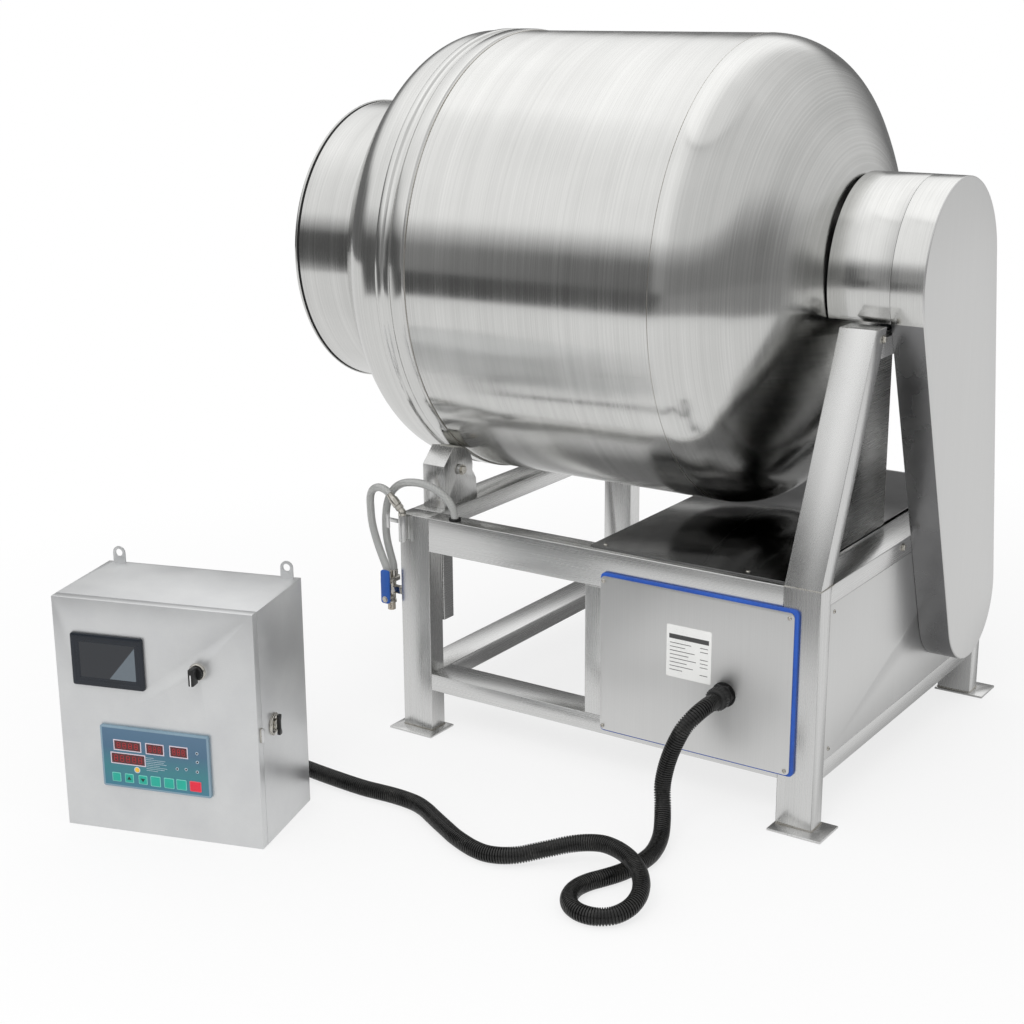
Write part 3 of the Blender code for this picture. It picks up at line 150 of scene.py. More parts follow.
def spunSteel(name, colours, rough):
    # Rolled drum sheet and spun heads, belt polished while turning: the lines are rings round the drum's axis,
    # so a lamp smears along the drum and stays sharp round it
    material, tree, shader = newMaterial(name, colours[1], 1.0, 0.2, Anisotropic=0.75, Anisotropic_Rotation=0.25)
    rings = grain(tree, (560, 0.5, 0.5), 2.0)
    bands = grain(tree, (26, 0.7, 0.7), 2.0)
    clouds = grain(tree, (3, 4, 4), 3.0)
    mixed = blended(tree, (rings, 0.4), (bands, 0.3), (clouds, 0.3))
    tilt = blended(tree, (rings, 0.3), (bands, 1.0))
    wear(tree, shader, mixed, colours, rough, (0.38, 0.62), (tilt, 0.00016, 0.2))
    turn = addNode(tree, "Tangent", {"direction_type": "RADIAL", "axis": "X"})
    tree.links.new(turn.outputs[0], shader.inputs["Tangent"])
    return material


def evenGrain(name, colours, metallic, rough, cycles, height, **more):
    # Fine grain alike in all directions, for blasted, cast, moulded or painted faces
    material, tree, shader = newMaterial(name, colours[1], metallic, rough[1], **more)
    fine = grain(tree, (cycles, cycles, cycles), 4.0)
    clouds = grain(tree, (9, 9, 9), 4.0)
    wear(tree, shader, blended(tree, (fine, 0.3), (clouds, 0.7)), colours, rough, (0.34, 0.66),
         (fine, height, 0.5))
    return material


steelAlongX = brushedSteel("brushed304AlongX", "X")
steelAlongY = brushedSteel("brushed304AlongY", "Y")
steelAlongZ = brushedSteel("brushed304AlongZ", "Z")
satinSheet = brushedSteel("satin304Sheet", "Z", ("#dadad9", "#e0e0df"), (0.34, 0.40))
drumSteel = spunSteel("spun304Drum", ("#cfcfcd", "#e3e3e1"), (0.14, 0.22))
# Rim sheet, smooth and unbrushed; painted darker and bluish as a painted reflection of the dark stay and rails it
# faces
rimSheetPaintedDark = evenGrain("rim304PaintedDark", ("#838384", "#929293"), 1.0, (0.22, 0.32), 12, 0.00001)
# Glass bead blasted steel: small dimples scatter the light into an even pale grey
blastedSteel = evenGrain("beadBlasted304", ("#d2d3d4", "#dfe0e0"), 0.75, (0.30, 0.40), 900, 0.00002)
# Buffed to a mirror; its colour painted dark grey as a painted reflection of the dark drum above it
polishedSteelPaintedDark = evenGrain("polished304CoverPaintedDark", ("#7e7e7e", "#8c8c8c"), 1.0, (0.07, 0.14), 30, 0.00001)
# Cooled weld metal: ripples, straw tint and soot in the toes
weldSteel = evenGrain("tigWeld304", ("#8f8a80", "#d2d0cb"), 1.0, (0.28, 0.45), 420, 0.0004)
# Black oxide and chain oil
oiledSteel = evenGrain("oiledCarbonSteel", ("#333336", "#4b4b4d"), 1.0, (0.35, 0.5), 300, 0.00005)
# Sand cast housing, skin left rough
castIron = evenGrain("greyCastIron", ("#404346", "#55585b"), 0.6, (0.5, 0.7), 400, 0.0003)
# Sprayed machine enamel with orange peel
motorPaint = evenGrain("machineEnamel", ("#474f5a", "#515a66"), 0.1, (0.35, 0.45), 200, 0.0001)
# Bright nickel on turned brass
plated = evenGrain("nickelPlatedBrass", ("#b4b0a8", "#d6d3cc"), 1.0, (0.10, 0.22), 160, 0.00003)
brass = evenGrain("turnedBrass", ("#a98645", "#c8a45a"), 1.0, (0.2, 0.32), 160, 0.00003)
# Moulded black nitrile, dull with talc left in the pores
nitrile = evenGrain("nitrileRubber", ("#101010", "#161616"), 0.0, (0.55, 0.7), 500, 0.00005)
# Silicone strip cut from sheet, soft blue with a faint sheen
silicone = evenGrain("blueSiliconeGasket", ("#1a469c", "#2158b8"), 0.0, (0.35, 0.5), 300, 0.00004)
# Cast polyamide wheel, turned
nylon = evenGrain("castPolyamide", ("#a5a49d", "#b9b8b2"), 0.0, (0.4, 0.5), 200, 0.00005)
# Glass filled moulding with a spark eroded skin
blackPlastic = evenGrain("blackPolyamide", ("#131313", "#1b1b1b"), 0.0, (0.32, 0.46), 700, 0.00005)
# Thick dipped vinyl sleeve over a steel lever
dippedVinyl = evenGrain("dippedBlueVinyl", ("#1c4c98", "#215bb0"), 0.0, (0.3, 0.4), 150, 0.00005)
print("materials made")


# Mesh tools
def joined(*parts):
    # Each part is a bmesh, or a pair of a bmesh and the number of its material
    whole = bmesh.new()
    for part in parts:
        part, number = part if isinstance(part, tuple) else (part, 0)
        for face in part.faces:
            face.material_index = number or face.material_index
        mesh = bpy.data.meshes.new("part")
        part.to_mesh(mesh)
        part.free()
        whole.from_mesh(mesh)
        bpy.data.meshes.remove(mesh)
    return whole


def keepPiece(name, bm, material, body, hides=(), smooth=35, outward=True):
    if outward:
        bmesh.ops.recalc_face_normals(bm, faces=bm.faces)
    mesh = bpy.data.meshes.new(name)
    bm.to_mesh(mesh)
    bm.free()
    for each in (material if isinstance(material, (list, tuple)) else [material]):
        mesh.materials.append(each)
    mesh.shade_smooth()
    mesh.set_sharp_from_angle(angle=math.radians(smooth))
    piece = bpy.data.objects.new(name, mesh)
    bpy.context.scene.collection.objects.link(piece)
    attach(piece, body)
    if hides:
        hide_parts(*hides)
    return piece


def easeEdges(bm, width, segments=2, sharp=30):
    hard = [edge for edge in bm.edges if edge.is_manifold and edge.is_convex
            and edge.calc_face_angle(0) > math.radians(sharp)]
    bmesh.ops.bevel(bm, geom=hard, offset=width, segments=segments, profile=0.5, affect="EDGES", material=-1,
                    clamp_overlap=True)
    return bm


def eased(node, width, segments=2, sharp=30):
    # A copy of a CAD node whose hard outer edges are rounded, as on folded or ground steel
    bm = bmesh.new()
    bm.from_mesh(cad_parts[node].data)
    bmesh.ops.remove_doubles(bm, verts=bm.verts, dist=0.00002)
    bmesh.ops.dissolve_limit(bm, angle_limit=math.radians(1), verts=bm.verts, edges=bm.edges)
    return easeEdges(bm, width, segments, sharp)


def dress(node, material):
    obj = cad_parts[node]
    obj.data.materials.clear()
    obj.data.materials.append(material)


def turned(profile, steps, place=(0, 0, 0), along=(0, 0, 1), ring=False):
    # Profile of (height, radius) spun round Z, then laid along a direction. A ring's profile joins its own ends;
    # any other is closed to the axis at both ends
    if not ring:
        profile = [(profile[0][0], 0), *profile, (profile[-1][0], 0)]
    bm = bmesh.new()
    verts = [bm.verts.new((radius, 0, height)) for height, radius in profile]
    edges = [bm.edges.new(pair) for pair in zip(verts, verts[1:])]
    if ring:
        edges.append(bm.edges.new((verts[-1], verts[0])))
    bmesh.ops.spin(bm, geom=verts + edges, cent=(0, 0, 0), axis=(0, 0, 1), angle=2 * math.pi, steps=steps,
                   use_merge=True)
    bmesh.ops.remove_doubles(bm, verts=bm.verts, dist=1e-6)
    bmesh.ops.recalc_face_normals(bm, faces=bm.faces)
    bm.transform(Matrix.Translation(place) @ Vector(along).to_track_quat("Z", "Y").to_matrix().to_4x4())
    return bm


def block(low, high, edge=0.0, segments=2):
    bm = bmesh.new()
    bmesh.ops.create_cube(bm, size=1.0)
    low, high = Vector(low), Vector(high)
    bmesh.ops.scale(bm, vec=high - low, verts=bm.verts)
    bmesh.ops.translate(bm, vec=(low + high) / 2, verts=bm.verts)
    return easeEdges(bm, edge, segments) if edge else bm


def onAxis(axis, a, b, level):
    return {"X": (level, a, b), "Y": (a, level, b), "Z": (a, b, level)}[axis]


def slab(outline, axis, low, high, edge=0.0, segments=2):
    bm = bmesh.new()
    face = bm.faces.new([bm.verts.new(onAxis(axis, a, b, low)) for a, b in outline])
    grown = bmesh.ops.extrude_face_region(bm, geom=[face])["geom"]
    bmesh.ops.translate(bm, verts=[v for v in grown if isinstance(v, bmesh.types.BMVert)],
                        vec=onAxis(axis, 0, 0, high - low))
    bmesh.ops.recalc_face_normals(bm, faces=bm.faces)
    return easeEdges(bm, edge, segments, 60) if edge else bm


def terraced(rows, axis):
    # Outlines with as many points each, bridged one after another; the first and last are closed.
    # No two neighbours share a level, or the bridge between them crosses over
    bm = bmesh.new()
    rings = [[bm.verts.new(onAxis(axis, a, b, level)) for a, b in outline] for outline, level in rows]
    for pair in zip(rings, rings[1:]):
        edges = [bm.edges.get(ends) or bm.edges.new(ends) for ring in pair
                 for ends in zip(ring, ring[1:] + ring[:1])]
        bmesh.ops.bridge_loops(bm, edges=edges)
    lids = [bm.faces.new(rings[0]), bm.faces.new(rings[-1])]
    bmesh.ops.recalc_face_normals(bm, faces=bm.faces)
    return bm, lids


def arcPoints(centre, radius, start, end, steps):
    turns = (start + (end - start) * k / steps for k in range(steps + 1))
    return [(centre[0] + radius * math.cos(t), centre[1] + radius * math.sin(t)) for t in turns]


def rounded(a0, a1, b0, b1, radius, steps=5):
    corners = ((a1 - radius, b0 + radius, -90), (a1 - radius, b1 - radius, 0),
               (a0 + radius, b1 - radius, 90), (a0 + radius, b0 + radius, 180))
    points = []
    for a, b, start in corners:
        points += arcPoints((a, b), radius, math.radians(start), math.radians(start + 90), steps)
    return points


def screw(place, along, radius):
    # Button head with a socket
    return turned([(0, radius), (radius * 0.25, radius), (radius * 0.55, radius * 0.75),
                   (radius * 0.62, radius * 0.45), (radius * 0.3, radius * 0.42)], 18, place, along)


def hexHead(place, along, radius, height):
    nut = turned([(0, radius), (height * 0.8, radius), (height, radius * 0.86)], 6, place, along)
    washer = turned([(-0.0005, radius * 1.35), (0.001, radius * 1.35)], 24, place, along)
    return joined(nut, washer)


def lengthOf(points):
    return sum((q - p).length for p, q in zip(points, points[1:]))


def smoothRoute(points, spacing):
    # Points at even spacing on a centripetal curve through the given ones; the end stretches stay straight
    knots = [Vector(p) for p in points]
    fine = []
    for a, b, c, d in zip(knots, knots[1:], knots[2:], knots[3:]):
        t1 = (b - a).length ** 0.5
        t2 = t1 + (c - b).length ** 0.5
        t3 = t2 + (d - c).length ** 0.5
        for k in range(16):
            t = t1 + (t2 - t1) * k / 16
            ab, bc, cd = a.lerp(b, t / t1), b.lerp(c, (t - t1) / (t2 - t1)), c.lerp(d, (t - t2) / (t3 - t2))
            fine.append(ab.lerp(bc, t / t2).lerp(bc.lerp(cd, (t - t1) / (t3 - t1)), (t - t1) / (t2 - t1)))
    fine.append(knots[-2])
    total = lengthOf(fine)
    count = round(total / spacing)
    even, walked = [fine[0]], 0.0
    for p, q in zip(fine, fine[1:]):
        step = (q - p).length
        while len(even) < count and walked + step >= total * len(even) / count:
            even.append(p.lerp(q, (total * len(even) / count - walked) / step))
        walked += step
    return [knots[0]] + even + [fine[-1], knots[-1]]


def routeFrames(points):
    # Distance, place and two side directions at each point, without twist
    frames = []
    side, walked = None, 0.0
    for k, point in enumerate(points):
        ahead = (points[min(k + 1, len(points) - 1)] - points[max(k - 1, 0)]).normalized()
        if side is None:
            side = ahead.orthogonal()
        side = (side - ahead * side.dot(ahead)).normalized()
        frames.append((walked, point, side, ahead.cross(side)))
        if k + 1 < len(points):
            walked += (points[k + 1] - point).length
    return frames


def bendAlong(bm, points):
    # Lays a straight tube that runs along +X onto a route; its UV keeps the length and the turn
    grid = bm.loops.layers.uv.new("alongAndRound")
    for face in bm.faces:
        turns = [math.atan2(loop.vert.co.z, loop.vert.co.y) / (2 * math.pi) % 1 for loop in face.loops]
        wrap = max(turns) - min(turns) > 0.5
        for loop, turn in zip(face.loops, turns):
            loop[grid].uv = (loop.vert.co.x, turn + (1 if wrap and turn < 0.5 else 0))
    frames = routeFrames(points)
    total = frames[-1][0]
    k = 0
    for vert in sorted(bm.verts, key=lambda v: v.co.x):
        at = min(max(vert.co.x, 0), total)
        while k + 2 < len(frames) and frames[k + 1][0] < at:
            k += 1
        d0, p0, s0, u0 = frames[k]
        d1, p1, s1, u1 = frames[k + 1]
        t = (at - d0) / (d1 - d0)
        side, up = s0.lerp(s1, t).normalized(), u0.lerp(u1, t).normalized()
        vert.co = p0.lerp(p1, t) + side * vert.co.y + up * vert.co.z
    return bm


def tubeAlong(points, profile, steps):
    # Profile of (distance, radius) as a tube along the points, closed at both ends
    return bendAlong(turned(profile, steps, along=(1, 0, 0)), points)


# Cords
frameCorner = Vector((0.025, -0.013, 0))       # front drive-end corner of the frame
conduit = {
    "diameter": 0.0345,
    "pitch": 0.0052,       # one corrugation
    "depth": 0.0026,
    "length": 2.19,
    "from": (-1.1725, -0.4948, 0.0900), "fromWay": (-0.297375, 0.954761, 0.0),
    "to": (-0.1760, -0.0639, 0.2660),
    "floor": ((-1.2130, -0.392, 0.064), (-1.196, -0.356, 0.034), (-1.150, -0.339, 0), (-1.074, -0.341, 0),
              (-0.981, -0.349, 0), (-0.878, -0.354, 0), (-0.801, -0.349, 0), (-0.732, -0.356, 0),
              (-0.645, -0.400, 0), (-0.562, -0.442, 0), (-0.492, -0.460, 0), (-0.434, -0.446, 0.022),
              (-0.384, -0.406, 0.032), (-0.339, -0.374, 0.043), (-0.286, -0.357, 0.052), (-0.228, -0.370, 0.0545),
              (-0.174, -0.404, 0.050), (-0.139, -0.449, 0.040), (-0.129, -0.500, 0.028), (-0.151, -0.543, 0.019),
              (-0.196, -0.560, 0), (-0.240, -0.541, 0), (-0.262, -0.495, 0), (-0.254, -0.446, 0),
              (-0.230, -0.400, 0), (-0.214, -0.344, 0), (-0.212, -0.280, 0.018), (-0.225, -0.222, 0.030),
              (-0.244, -0.182, 0.062), (-0.256, -0.163, 0.108), (-0.250, -0.156, 0.155), (-0.236, -0.150, 0.200),
              (-0.221, -0.137, 0.236), (-0.207, -0.113, 0.258)),
}


def conduitSkin():
    # Extruded black polyamide: satin, scuffed paler along the crests that rub on floors
    material, tree, shader = newMaterial("scuffedBlackPolyamide", "#1a1a1a", 0.0, 0.42)
    scuffs = grain(tree, (26, 26, 26), 6.0)
    dust = grain(tree, (300, 300, 300), 3.0)
    wear(tree, shader, blended(tree, (scuffs, 0.5), (dust, 0.5)), ("#101010", "#1c1c1b", "#454442"), (0.24, 0.5),
         (0.42, 0.68), (dust, 0.00005, 0.5))
    return material


def makeConduit():
    c = conduit
    low = c["diameter"] / 2 + 0.0001
    start, end = Vector(c["from"]), Vector(c["to"])
    route = [start, start + c["diameter"] * Vector(c["fromWay"])]
    route += [frameCorner + Vector((x, y, max(z, low))) for x, y, z in c["floor"]]
    route += [end - Vector((0, c["diameter"], 0)), end]
    for spacing in (0.034, 0.006):
        route = [Vector((p.x, p.y, max(p.z, low))) for p in smoothRoute(route, spacing)]
    length = lengthOf(route)
    count = round(length / c["pitch"])
    step = length / count
    crest, valley = c["diameter"] / 2, c["diameter"] / 2 - c["depth"]
    profile = []
    for k in range(count):
        at = step * k
        profile += [(at, valley), (at + step * 0.22, valley), (at + step * 0.36, crest),
                    (at + step * 0.84, crest)]
    profile.append((length, valley))
    piece = keepPiece("corrugated_conduit", tubeAlong(route, profile, 20), conduitSkin(), "frame",
                      ["power_conduit"], 50, outward=False)
    return length


hoses = {
    "diameter": 0.018,
    "vacuum": {"from": (-0.876, 0.009, 0.5203), "to": (-1.055, 0.011, 0.3723), "spacing": 0.016, "length": 0.42,
               "way": (0, 0, 0.009),
               "points": ((-0.9035, 0.0215, 0.541), (-0.9135, 0.0195, 0.560), (-0.931, 0.016, 0.577),
                          (-0.955, 0.012, 0.589), (-0.982, 0.009, 0.595), (-1.010, 0.008, 0.594),
                          (-1.040, 0.010, 0.586), (-1.068, 0.014, 0.566), (-1.088, 0.019, 0.535),
                          (-1.098, 0.023, 0.492), (-1.098, 0.025, 0.444), (-1.088, 0.025, 0.405))},
    "lid": {"from": (-1.033567, -0.025, 0.564567), "to": (-1.055, -0.015, 0.3723), "spacing": 0.014,
            "length": 0.26, "way": (-0.004243, 0, 0.004243),
            "points": ((-1.0755, -0.012, 0.5745), (-1.0935, -0.0105, 0.5745), (-1.1095, -0.008, 0.565),
                       (-1.119, -0.005, 0.548), (-1.1225, -0.001, 0.520), (-1.1215, 0.002, 0.482),
                       (-1.110, 0.003, 0.440), (-1.092, 0.000, 0.404))},
}


def braidedSkin():
    # Clear soft PVC with a polyester braid between its two layers: two sets of threads, about 3 mm apart,
    # that cross each other on the way round
    material, tree, shader = newMaterial("braidedClearPvc", "#b9bab8", 0.0, 0.18, Transmission_Weight=0.2,
                                         IOR=1.52, Coat_Weight=0.7, Coat_Roughness=0.1)
    where = addNode(tree, "TexCoord").outputs["UV"]
    threads = []
    for lean in (1, -1):
        spread = addNode(tree, "Mapping", {"Scale": (160, 6 * lean, 1)}, {"Vector": where})
        wave = addNode(tree, "TexWave", {"Scale": 1.0, "wave_type": "BANDS", "bands_direction": "DIAGONAL"},
                       {"Vector": spread.outputs[0]})
        threads.append(wave.outputs[1])
    crossing = addNode(tree, "Math", {"operation": "MAXIMUM"}, {0: threads[0], 1: threads[1]}).outputs[0]
    wear(tree, shader, crossing, ("#8a8c8b", "#d9d9d6"), (0.14, 0.24), (0.80, 0.95), (crossing, 0.0001, 0.4))
    return material


def makeHose(name, skin):
    hose = hoses[name]
    start, end = Vector(hose["from"]), Vector(hose["to"])
    route = [start, start + Vector(hose["way"])]
    route += [frameCorner + Vector(p) for p in hose["points"]]
    route += [end + Vector((0, 0, hoses["diameter"] / 2)), end]
    route = smoothRoute(smoothRoute(route, hose["spacing"]), 0.004)
    length = lengthOf(route)
    count = 90
    profile = [(length * k / count, hoses["diameter"] / 2) for k in range(count + 1)]
    piece = keepPiece(name + "_hose_braided", tubeAlong(route, profile, 20), skin, "frame", [name + "_hose"],
                      50, outward=False)
    return length


braidedPvc = braidedSkin()
print("cords laid:", round(makeConduit(), 3), round(makeHose("vacuum", braidedPvc), 3),
      round(makeHose("lid", braidedPvc), 3))

# Tube frame: cold drawn box section, corners of about 2 mm
tubes = {
    "edge": 0.0022,
    "Z": ("leg_front_drive", "leg_front_mouth", "leg_rear_drive", "leg_rear_mouth", "post_front", "post_rear",
          "stay_front", "stay_rear"),
    "X": ("rail_top_front", "rail_top_rear", "rail_low_front", "rail_low_rear"),
    "Y": ("rail_top_drive", "rail_top_mouth", "rail_low_drive", "rail_low_mouth", "bearing_bridge"),
}
for along, steel in (("X", steelAlongX), ("Y", steelAlongY), ("Z", steelAlongZ)):
    for node in tubes[along]:
        keepPiece(node + "_tube", eased(node, tubes["edge"]), steel, "frame", [node])

welds = {
    "radius": 0.0022, "thin": 0.0016, "drop": 0.004,
    "legs": ((-0.055, -0.013), (-1.015, -0.013), (-0.055, 0.887), (-1.015, 0.887)), "leg": (0.080, 0.050),
    "footPlate": 0.0055, "railTop": 0.5205,
    "stays": ((-0.013, 0.0459), (0.8781, 0.937)),      # Y spans of the stays' feet
}


def weldBead(points, radius):
    # A run of overlapping drops
    route = [Vector(p) for p in points]
    length = lengthOf(route)
    count = max(2, round(length / welds["drop"]))
    profile = []
    for k in range(count):
        for part, size in ((0.0, 0.72), (0.3, 0.98), (0.6, 1.0), (0.9, 0.8)):
            profile.append((length * (k + part) / count, radius * size))
    profile.append((length, radius * 0.7))
    return tubeAlong(route, profile, 8)


def frameWelds():
    # Fillets round each leg's foot and each stay's foot; the joints of the rails are ground flush
    w = welds
    rounds = [(x, y, x + w["leg"][0], y + w["leg"][1], w["footPlate"], w["radius"]) for x, y in w["legs"]]
    rounds += [(-0.055, y0, 0.025, y1, w["railTop"], w["thin"]) for y0, y1 in w["stays"]]
    runs = []
    for x0, y0, x1, y1, z, radius in rounds:
        corners = [(x0, y0, z), (x1, y0, z), (x1, y1, z), (x0, y1, z), (x0, y0, z)]
        runs += [weldBead(pair, radius) for pair in zip(corners, corners[1:])]
    keepPiece("frame_welds", joined(*runs), weldSteel, "frame", outward=False)


frameWelds()
print("tube frame dressed")

# Finishes of the CAD nodes that keep their own shape
finishes = {
    "bearing_block": castIron, "drive_chain": oiledSteel, "drive_shaft": oiledSteel, "drum_vanes": steelAlongX,
    "floor_pan": steelAlongX, "gearmotor": motorPaint, "motor_sprocket": oiledSteel, "vacuum_pump": motorPaint,
}
for node, material in finishes.items():
    dress(node, material)

# Drum; distances run from the frame's drive end towards the mouth
drum = {
    "axis": (0.462, 1.0585),      # Y and Z
    "start": 0.025,               # X of the frame's drive end
    "radius": 0.510,
    "driveTangent": 0.3838, "driveCrown": 0.800, "driveKnuckle": 0.170,
    "mouthTangent": 1.087, "mouthCrown": 0.651, "mouthKnuckle": 0.095,
    "neck": 0.339, "neckEnd": 1.4255,
    "wall": 0.004,
    "track": (0.988, 1.022), "trackRadius": 0.514,
    "groove": (1.024, 1.043), "grooveRadius": 0.5085,
    "steps": 192,
    "ringWelds": {      # distance, radius, size of the bead, drops
        "drum_ring_weld": (0.984, 0.5098, 0.0022, 420),
        "neck_ring_weld": (1.2728, 0.3395, 0.0020, 280),
        "drive_head_weld": (0.3828, 0.5094, 0.0011, 400),
    },
}


def roundDrum(profile, ring=False):
    return turned(profile, drum["steps"], (drum["start"], *drum["axis"]), (1, 0, 0), ring)


def headCurve(tangent, knuckle, crown, way, edge, inset, count):
    # From the small radius out over the crown and round the knuckle
    flat = drum["radius"] - knuckle
    hub = tangent - way * math.sqrt((crown - knuckle) ** 2 - flat ** 2)
    bend = math.atan2(flat, abs(tangent - hub))
    start = math.asin(edge / (crown - inset))
    points = []
    for k in range(count):
        t = start + (bend - start) * k / count
        points.append((hub + way * (crown - inset) * math.cos(t), (crown - inset) * math.sin(t)))
    for k in range(count + 1):
        t = bend + (math.pi / 2 - bend) * k / count
        points.append((tangent + way * (knuckle - inset) * math.cos(t), flat + (knuckle - inset) * math.sin(t)))
    return points


def drumShell():
    d = drum
    driveHead = (-d["driveTangent"], d["driveKnuckle"], d["driveCrown"], 1, 0.058)
    drive, driveIn = headCurve(*driveHead, 0, 18), headCurve(*driveHead, d["wall"], 10)
    mouthHead = (-d["mouthTangent"], d["mouthKnuckle"], d["mouthCrown"], -1)
    mouth = headCurve(*mouthHead, d["neck"], 0, 16)
    mouthIn = headCurve(*mouthHead, d["neck"] - d["wall"], d["wall"], 8)
    t0, t1 = d["track"]
    g0, g1 = d["groove"]
    high, low, plain = d["trackRadius"], d["grooveRadius"], d["radius"]
    middle = [(-t0 + 0.002, plain), (-t0, plain + 0.0006), (-t0 - 0.002, high - 0.0006), (-t0 - 0.005, high),
              (-t1 + 0.003, high), (-t1, high - 0.0012), (-g0 - 0.0015, low + 0.0008), (-g0 - 0.005, low),
              (-g1 + 0.005, low), (-g1 + 0.0015, low + 0.0008), (-g1 - 0.001, high - 0.0012),
              (-g1 - 0.004, high), (-g1 - 0.014, high), (-g1 - 0.018, high - 0.0014), (-g1 - 0.021, plain)]
    profile = drive + middle + list(reversed(mouth))
    profile += [(-d["neckEnd"], d["neck"]), (-d["neckEnd"], d["neck"] - d["wall"])]
    profile += mouthIn + list(reversed(driveIn))
    keepPiece("drum_shell_spun", roundDrum(profile), drumSteel, "drum", ["drum_shell"], 40)


def ringWeld(name, at, radius, size, drops):
    # A bead laid while the drum turns: drops round a ring
    centre = Vector((drum["start"] - at, *drum["axis"]))
    steps = drops * 2
    route = [centre + radius * Vector((0, math.cos(t), math.sin(t)))
             for t in (2 * math.pi * k / steps for k in range(steps + 1))]
    profile = [(lengthOf(route) * k / steps, size * (1 if k % 2 else 0.74)) for k in range(steps + 1)]
    keepPiece(name, tubeAlong(route, profile, 6), weldSteel, "drum", outward=False)


closure = {"gap": 0.0003, "seal": 0.005, "sealInner": 0.330, "rim": 0.342, "thick": 0.007, "dish": 0.300,
           "rise": 0.030, "spigot": 0.045}


def lidAndSeal():
    c = closure
    edge, neck = -drum["neckEnd"] - c["gap"], drum["neck"]
    back = edge - c["seal"]
    seat = [(edge, c["sealInner"]), (edge, neck - 0.0003), (edge - 0.0006, neck), (back + 0.0006, neck),
            (back, neck - 0.0003), (back, c["sealInner"])]
    keepPiece("lid_seal_ring", roundDrum(seat, ring=True), nitrile, "lid", ["lid_seal"], 40)
    inner = back - c["gap"]
    outer, rise, dish = inner - c["thick"], c["rise"], c["dish"]
    tip = outer - rise - c["spigot"]
    outside = [(tip, 0.0185), (tip + 0.0015, 0.0196), (tip + c["spigot"] / 3, 0.028),
               (outer - rise - 0.003, 0.028), (outer - rise, 0.032), (outer - rise * 0.985, dish * 0.2),
               (outer - rise * 0.9, dish * 0.4), (outer - rise * 0.77, dish * 0.58),
               (outer - rise * 0.6, dish * 0.73), (outer - rise * 0.32, dish * 0.87),
               (outer - rise * 0.1, dish * 0.96), (outer, dish), (outer, c["rim"] - 0.004),
               (outer + 0.0012, c["rim"] - 0.0008), (outer + 0.003, c["rim"])]
    inside = [(inner - 0.0012, c["rim"]), (inner, c["rim"] - 0.0012), (inner, dish),
              (inner - rise * 0.1, dish * 0.953), (inner - rise * 0.6, dish * 0.72),
              (inner - rise * 0.9, dish * 0.39), (inner - rise, 0.028)]
    keepPiece("mouth_lid_pressed", roundDrum(outside + inside), drumSteel, "lid", ["mouth_lid"], 40)


drumShell()
for name, measures in drum["ringWelds"].items():
    ringWeld(name, *measures)
lidAndSeal()
print("drum and lid spun")

# Rollers and their folded brackets
rollers = {"front": 0.12804, "rear": 0.79596, "z": 0.60053, "x": -0.975, "radius": 0.0525, "half": 0.025,
           "cheek": 0.0362}


def makeRollers():
    r = rollers
    h, big = r["half"], r["radius"]
    profile = [(-h, 0.0093), (-h, 0.020), (-h + 0.003, 0.022), (-h + 0.003, big - 0.010), (-h, big - 0.008),
               (-h, big - 0.003), (-h + 0.001, big - 0.001), (-h + 0.003, big), (h - 0.003, big),
               (h - 0.001, big - 0.001), (h, big - 0.003), (h, big - 0.008), (h - 0.003, big - 0.010),
               (h - 0.003, 0.022), (h, 0.020), (h, 0.0093)]
    for side in ("front", "rear"):
        keepPiece(f"roller_{side}_tyre", turned(profile, 64, (r["x"], r[side], r["z"]), (1, 0, 0), True), nylon,
                  f"{side}_roller", [f"roller_{side}"])
        keepPiece(f"roller_bracket_{side}_folded", eased(f"roller_bracket_{side}", 0.0007, 2, 25), steelAlongZ,
                  "frame", [f"roller_bracket_{side}"], 30)
        nuts = [hexHead((r["x"] + way * r["cheek"], r[side], r["z"]), (way, 0, 0), 0.0095, 0.007)
                for way in (1, -1)]
        keepPiece(f"roller_axle_{side}_nuts", joined(*nuts), plated, "frame")


makeRollers()
print("rollers made")

# Sheet covers
covers = {
    "guardTop": (0.462, 1.085, 0.206), "guardLow": (0.657, 0.327, 0.138),   # Y, Z, radius
    "guardX": (0.0253, 0.097), "sheet": 0.002, "corner": 0.0035,
    "shroudX": (-0.111, 0.0247), "shroudBottom": 1.009,
    "serviceSheet": (-0.4735, -0.0245, 0.1215, 0.4705), "serviceY": (-0.0236, -0.0207), "serviceCorner": 0.010,
    # Rows of screws: the spans that hold them along X, Y and Z, and where their heads sit
    "screwRows": (((-0.467, -0.035), (-0.0235,), (0.1295, 0.459), (0, -1, 0), 0.0045),
                  ((-0.488, -0.151), (0.020, 0.905), (0.5236,), (0, 0, 1), 0.0050),
                  ((-0.425, -0.070), (0.9368,), (0.165, 0.420), (0, 1, 0), 0.0045),
                  ((0.0246,), (0.055, 0.875), (0.165, 0.462), (1, 0, 0), 0.0045)),
    "guardBolts": ((0.0262, 0.237, 0.984), (0.0262, 0.402, 0.505)),
    "sticker": (-0.312, -0.207, 0.280, 0.395), "stickerY": -0.02365, "film": 0.0002, "print": 0.00035,
}


def beltLine(inset, steps=40):
    first, second = covers["guardTop"], covers["guardLow"]
    along = Vector(second[:2]) - Vector(first[:2])
    heading = math.atan2(along.y, along.x)
    spread = math.acos((first[2] - second[2]) / along.length)
    points = arcPoints(first[:2], first[2] - inset, heading + spread, heading + 2 * math.pi - spread, steps)
    return points + arcPoints(second[:2], second[2] - inset, heading - spread, heading + spread, steps)


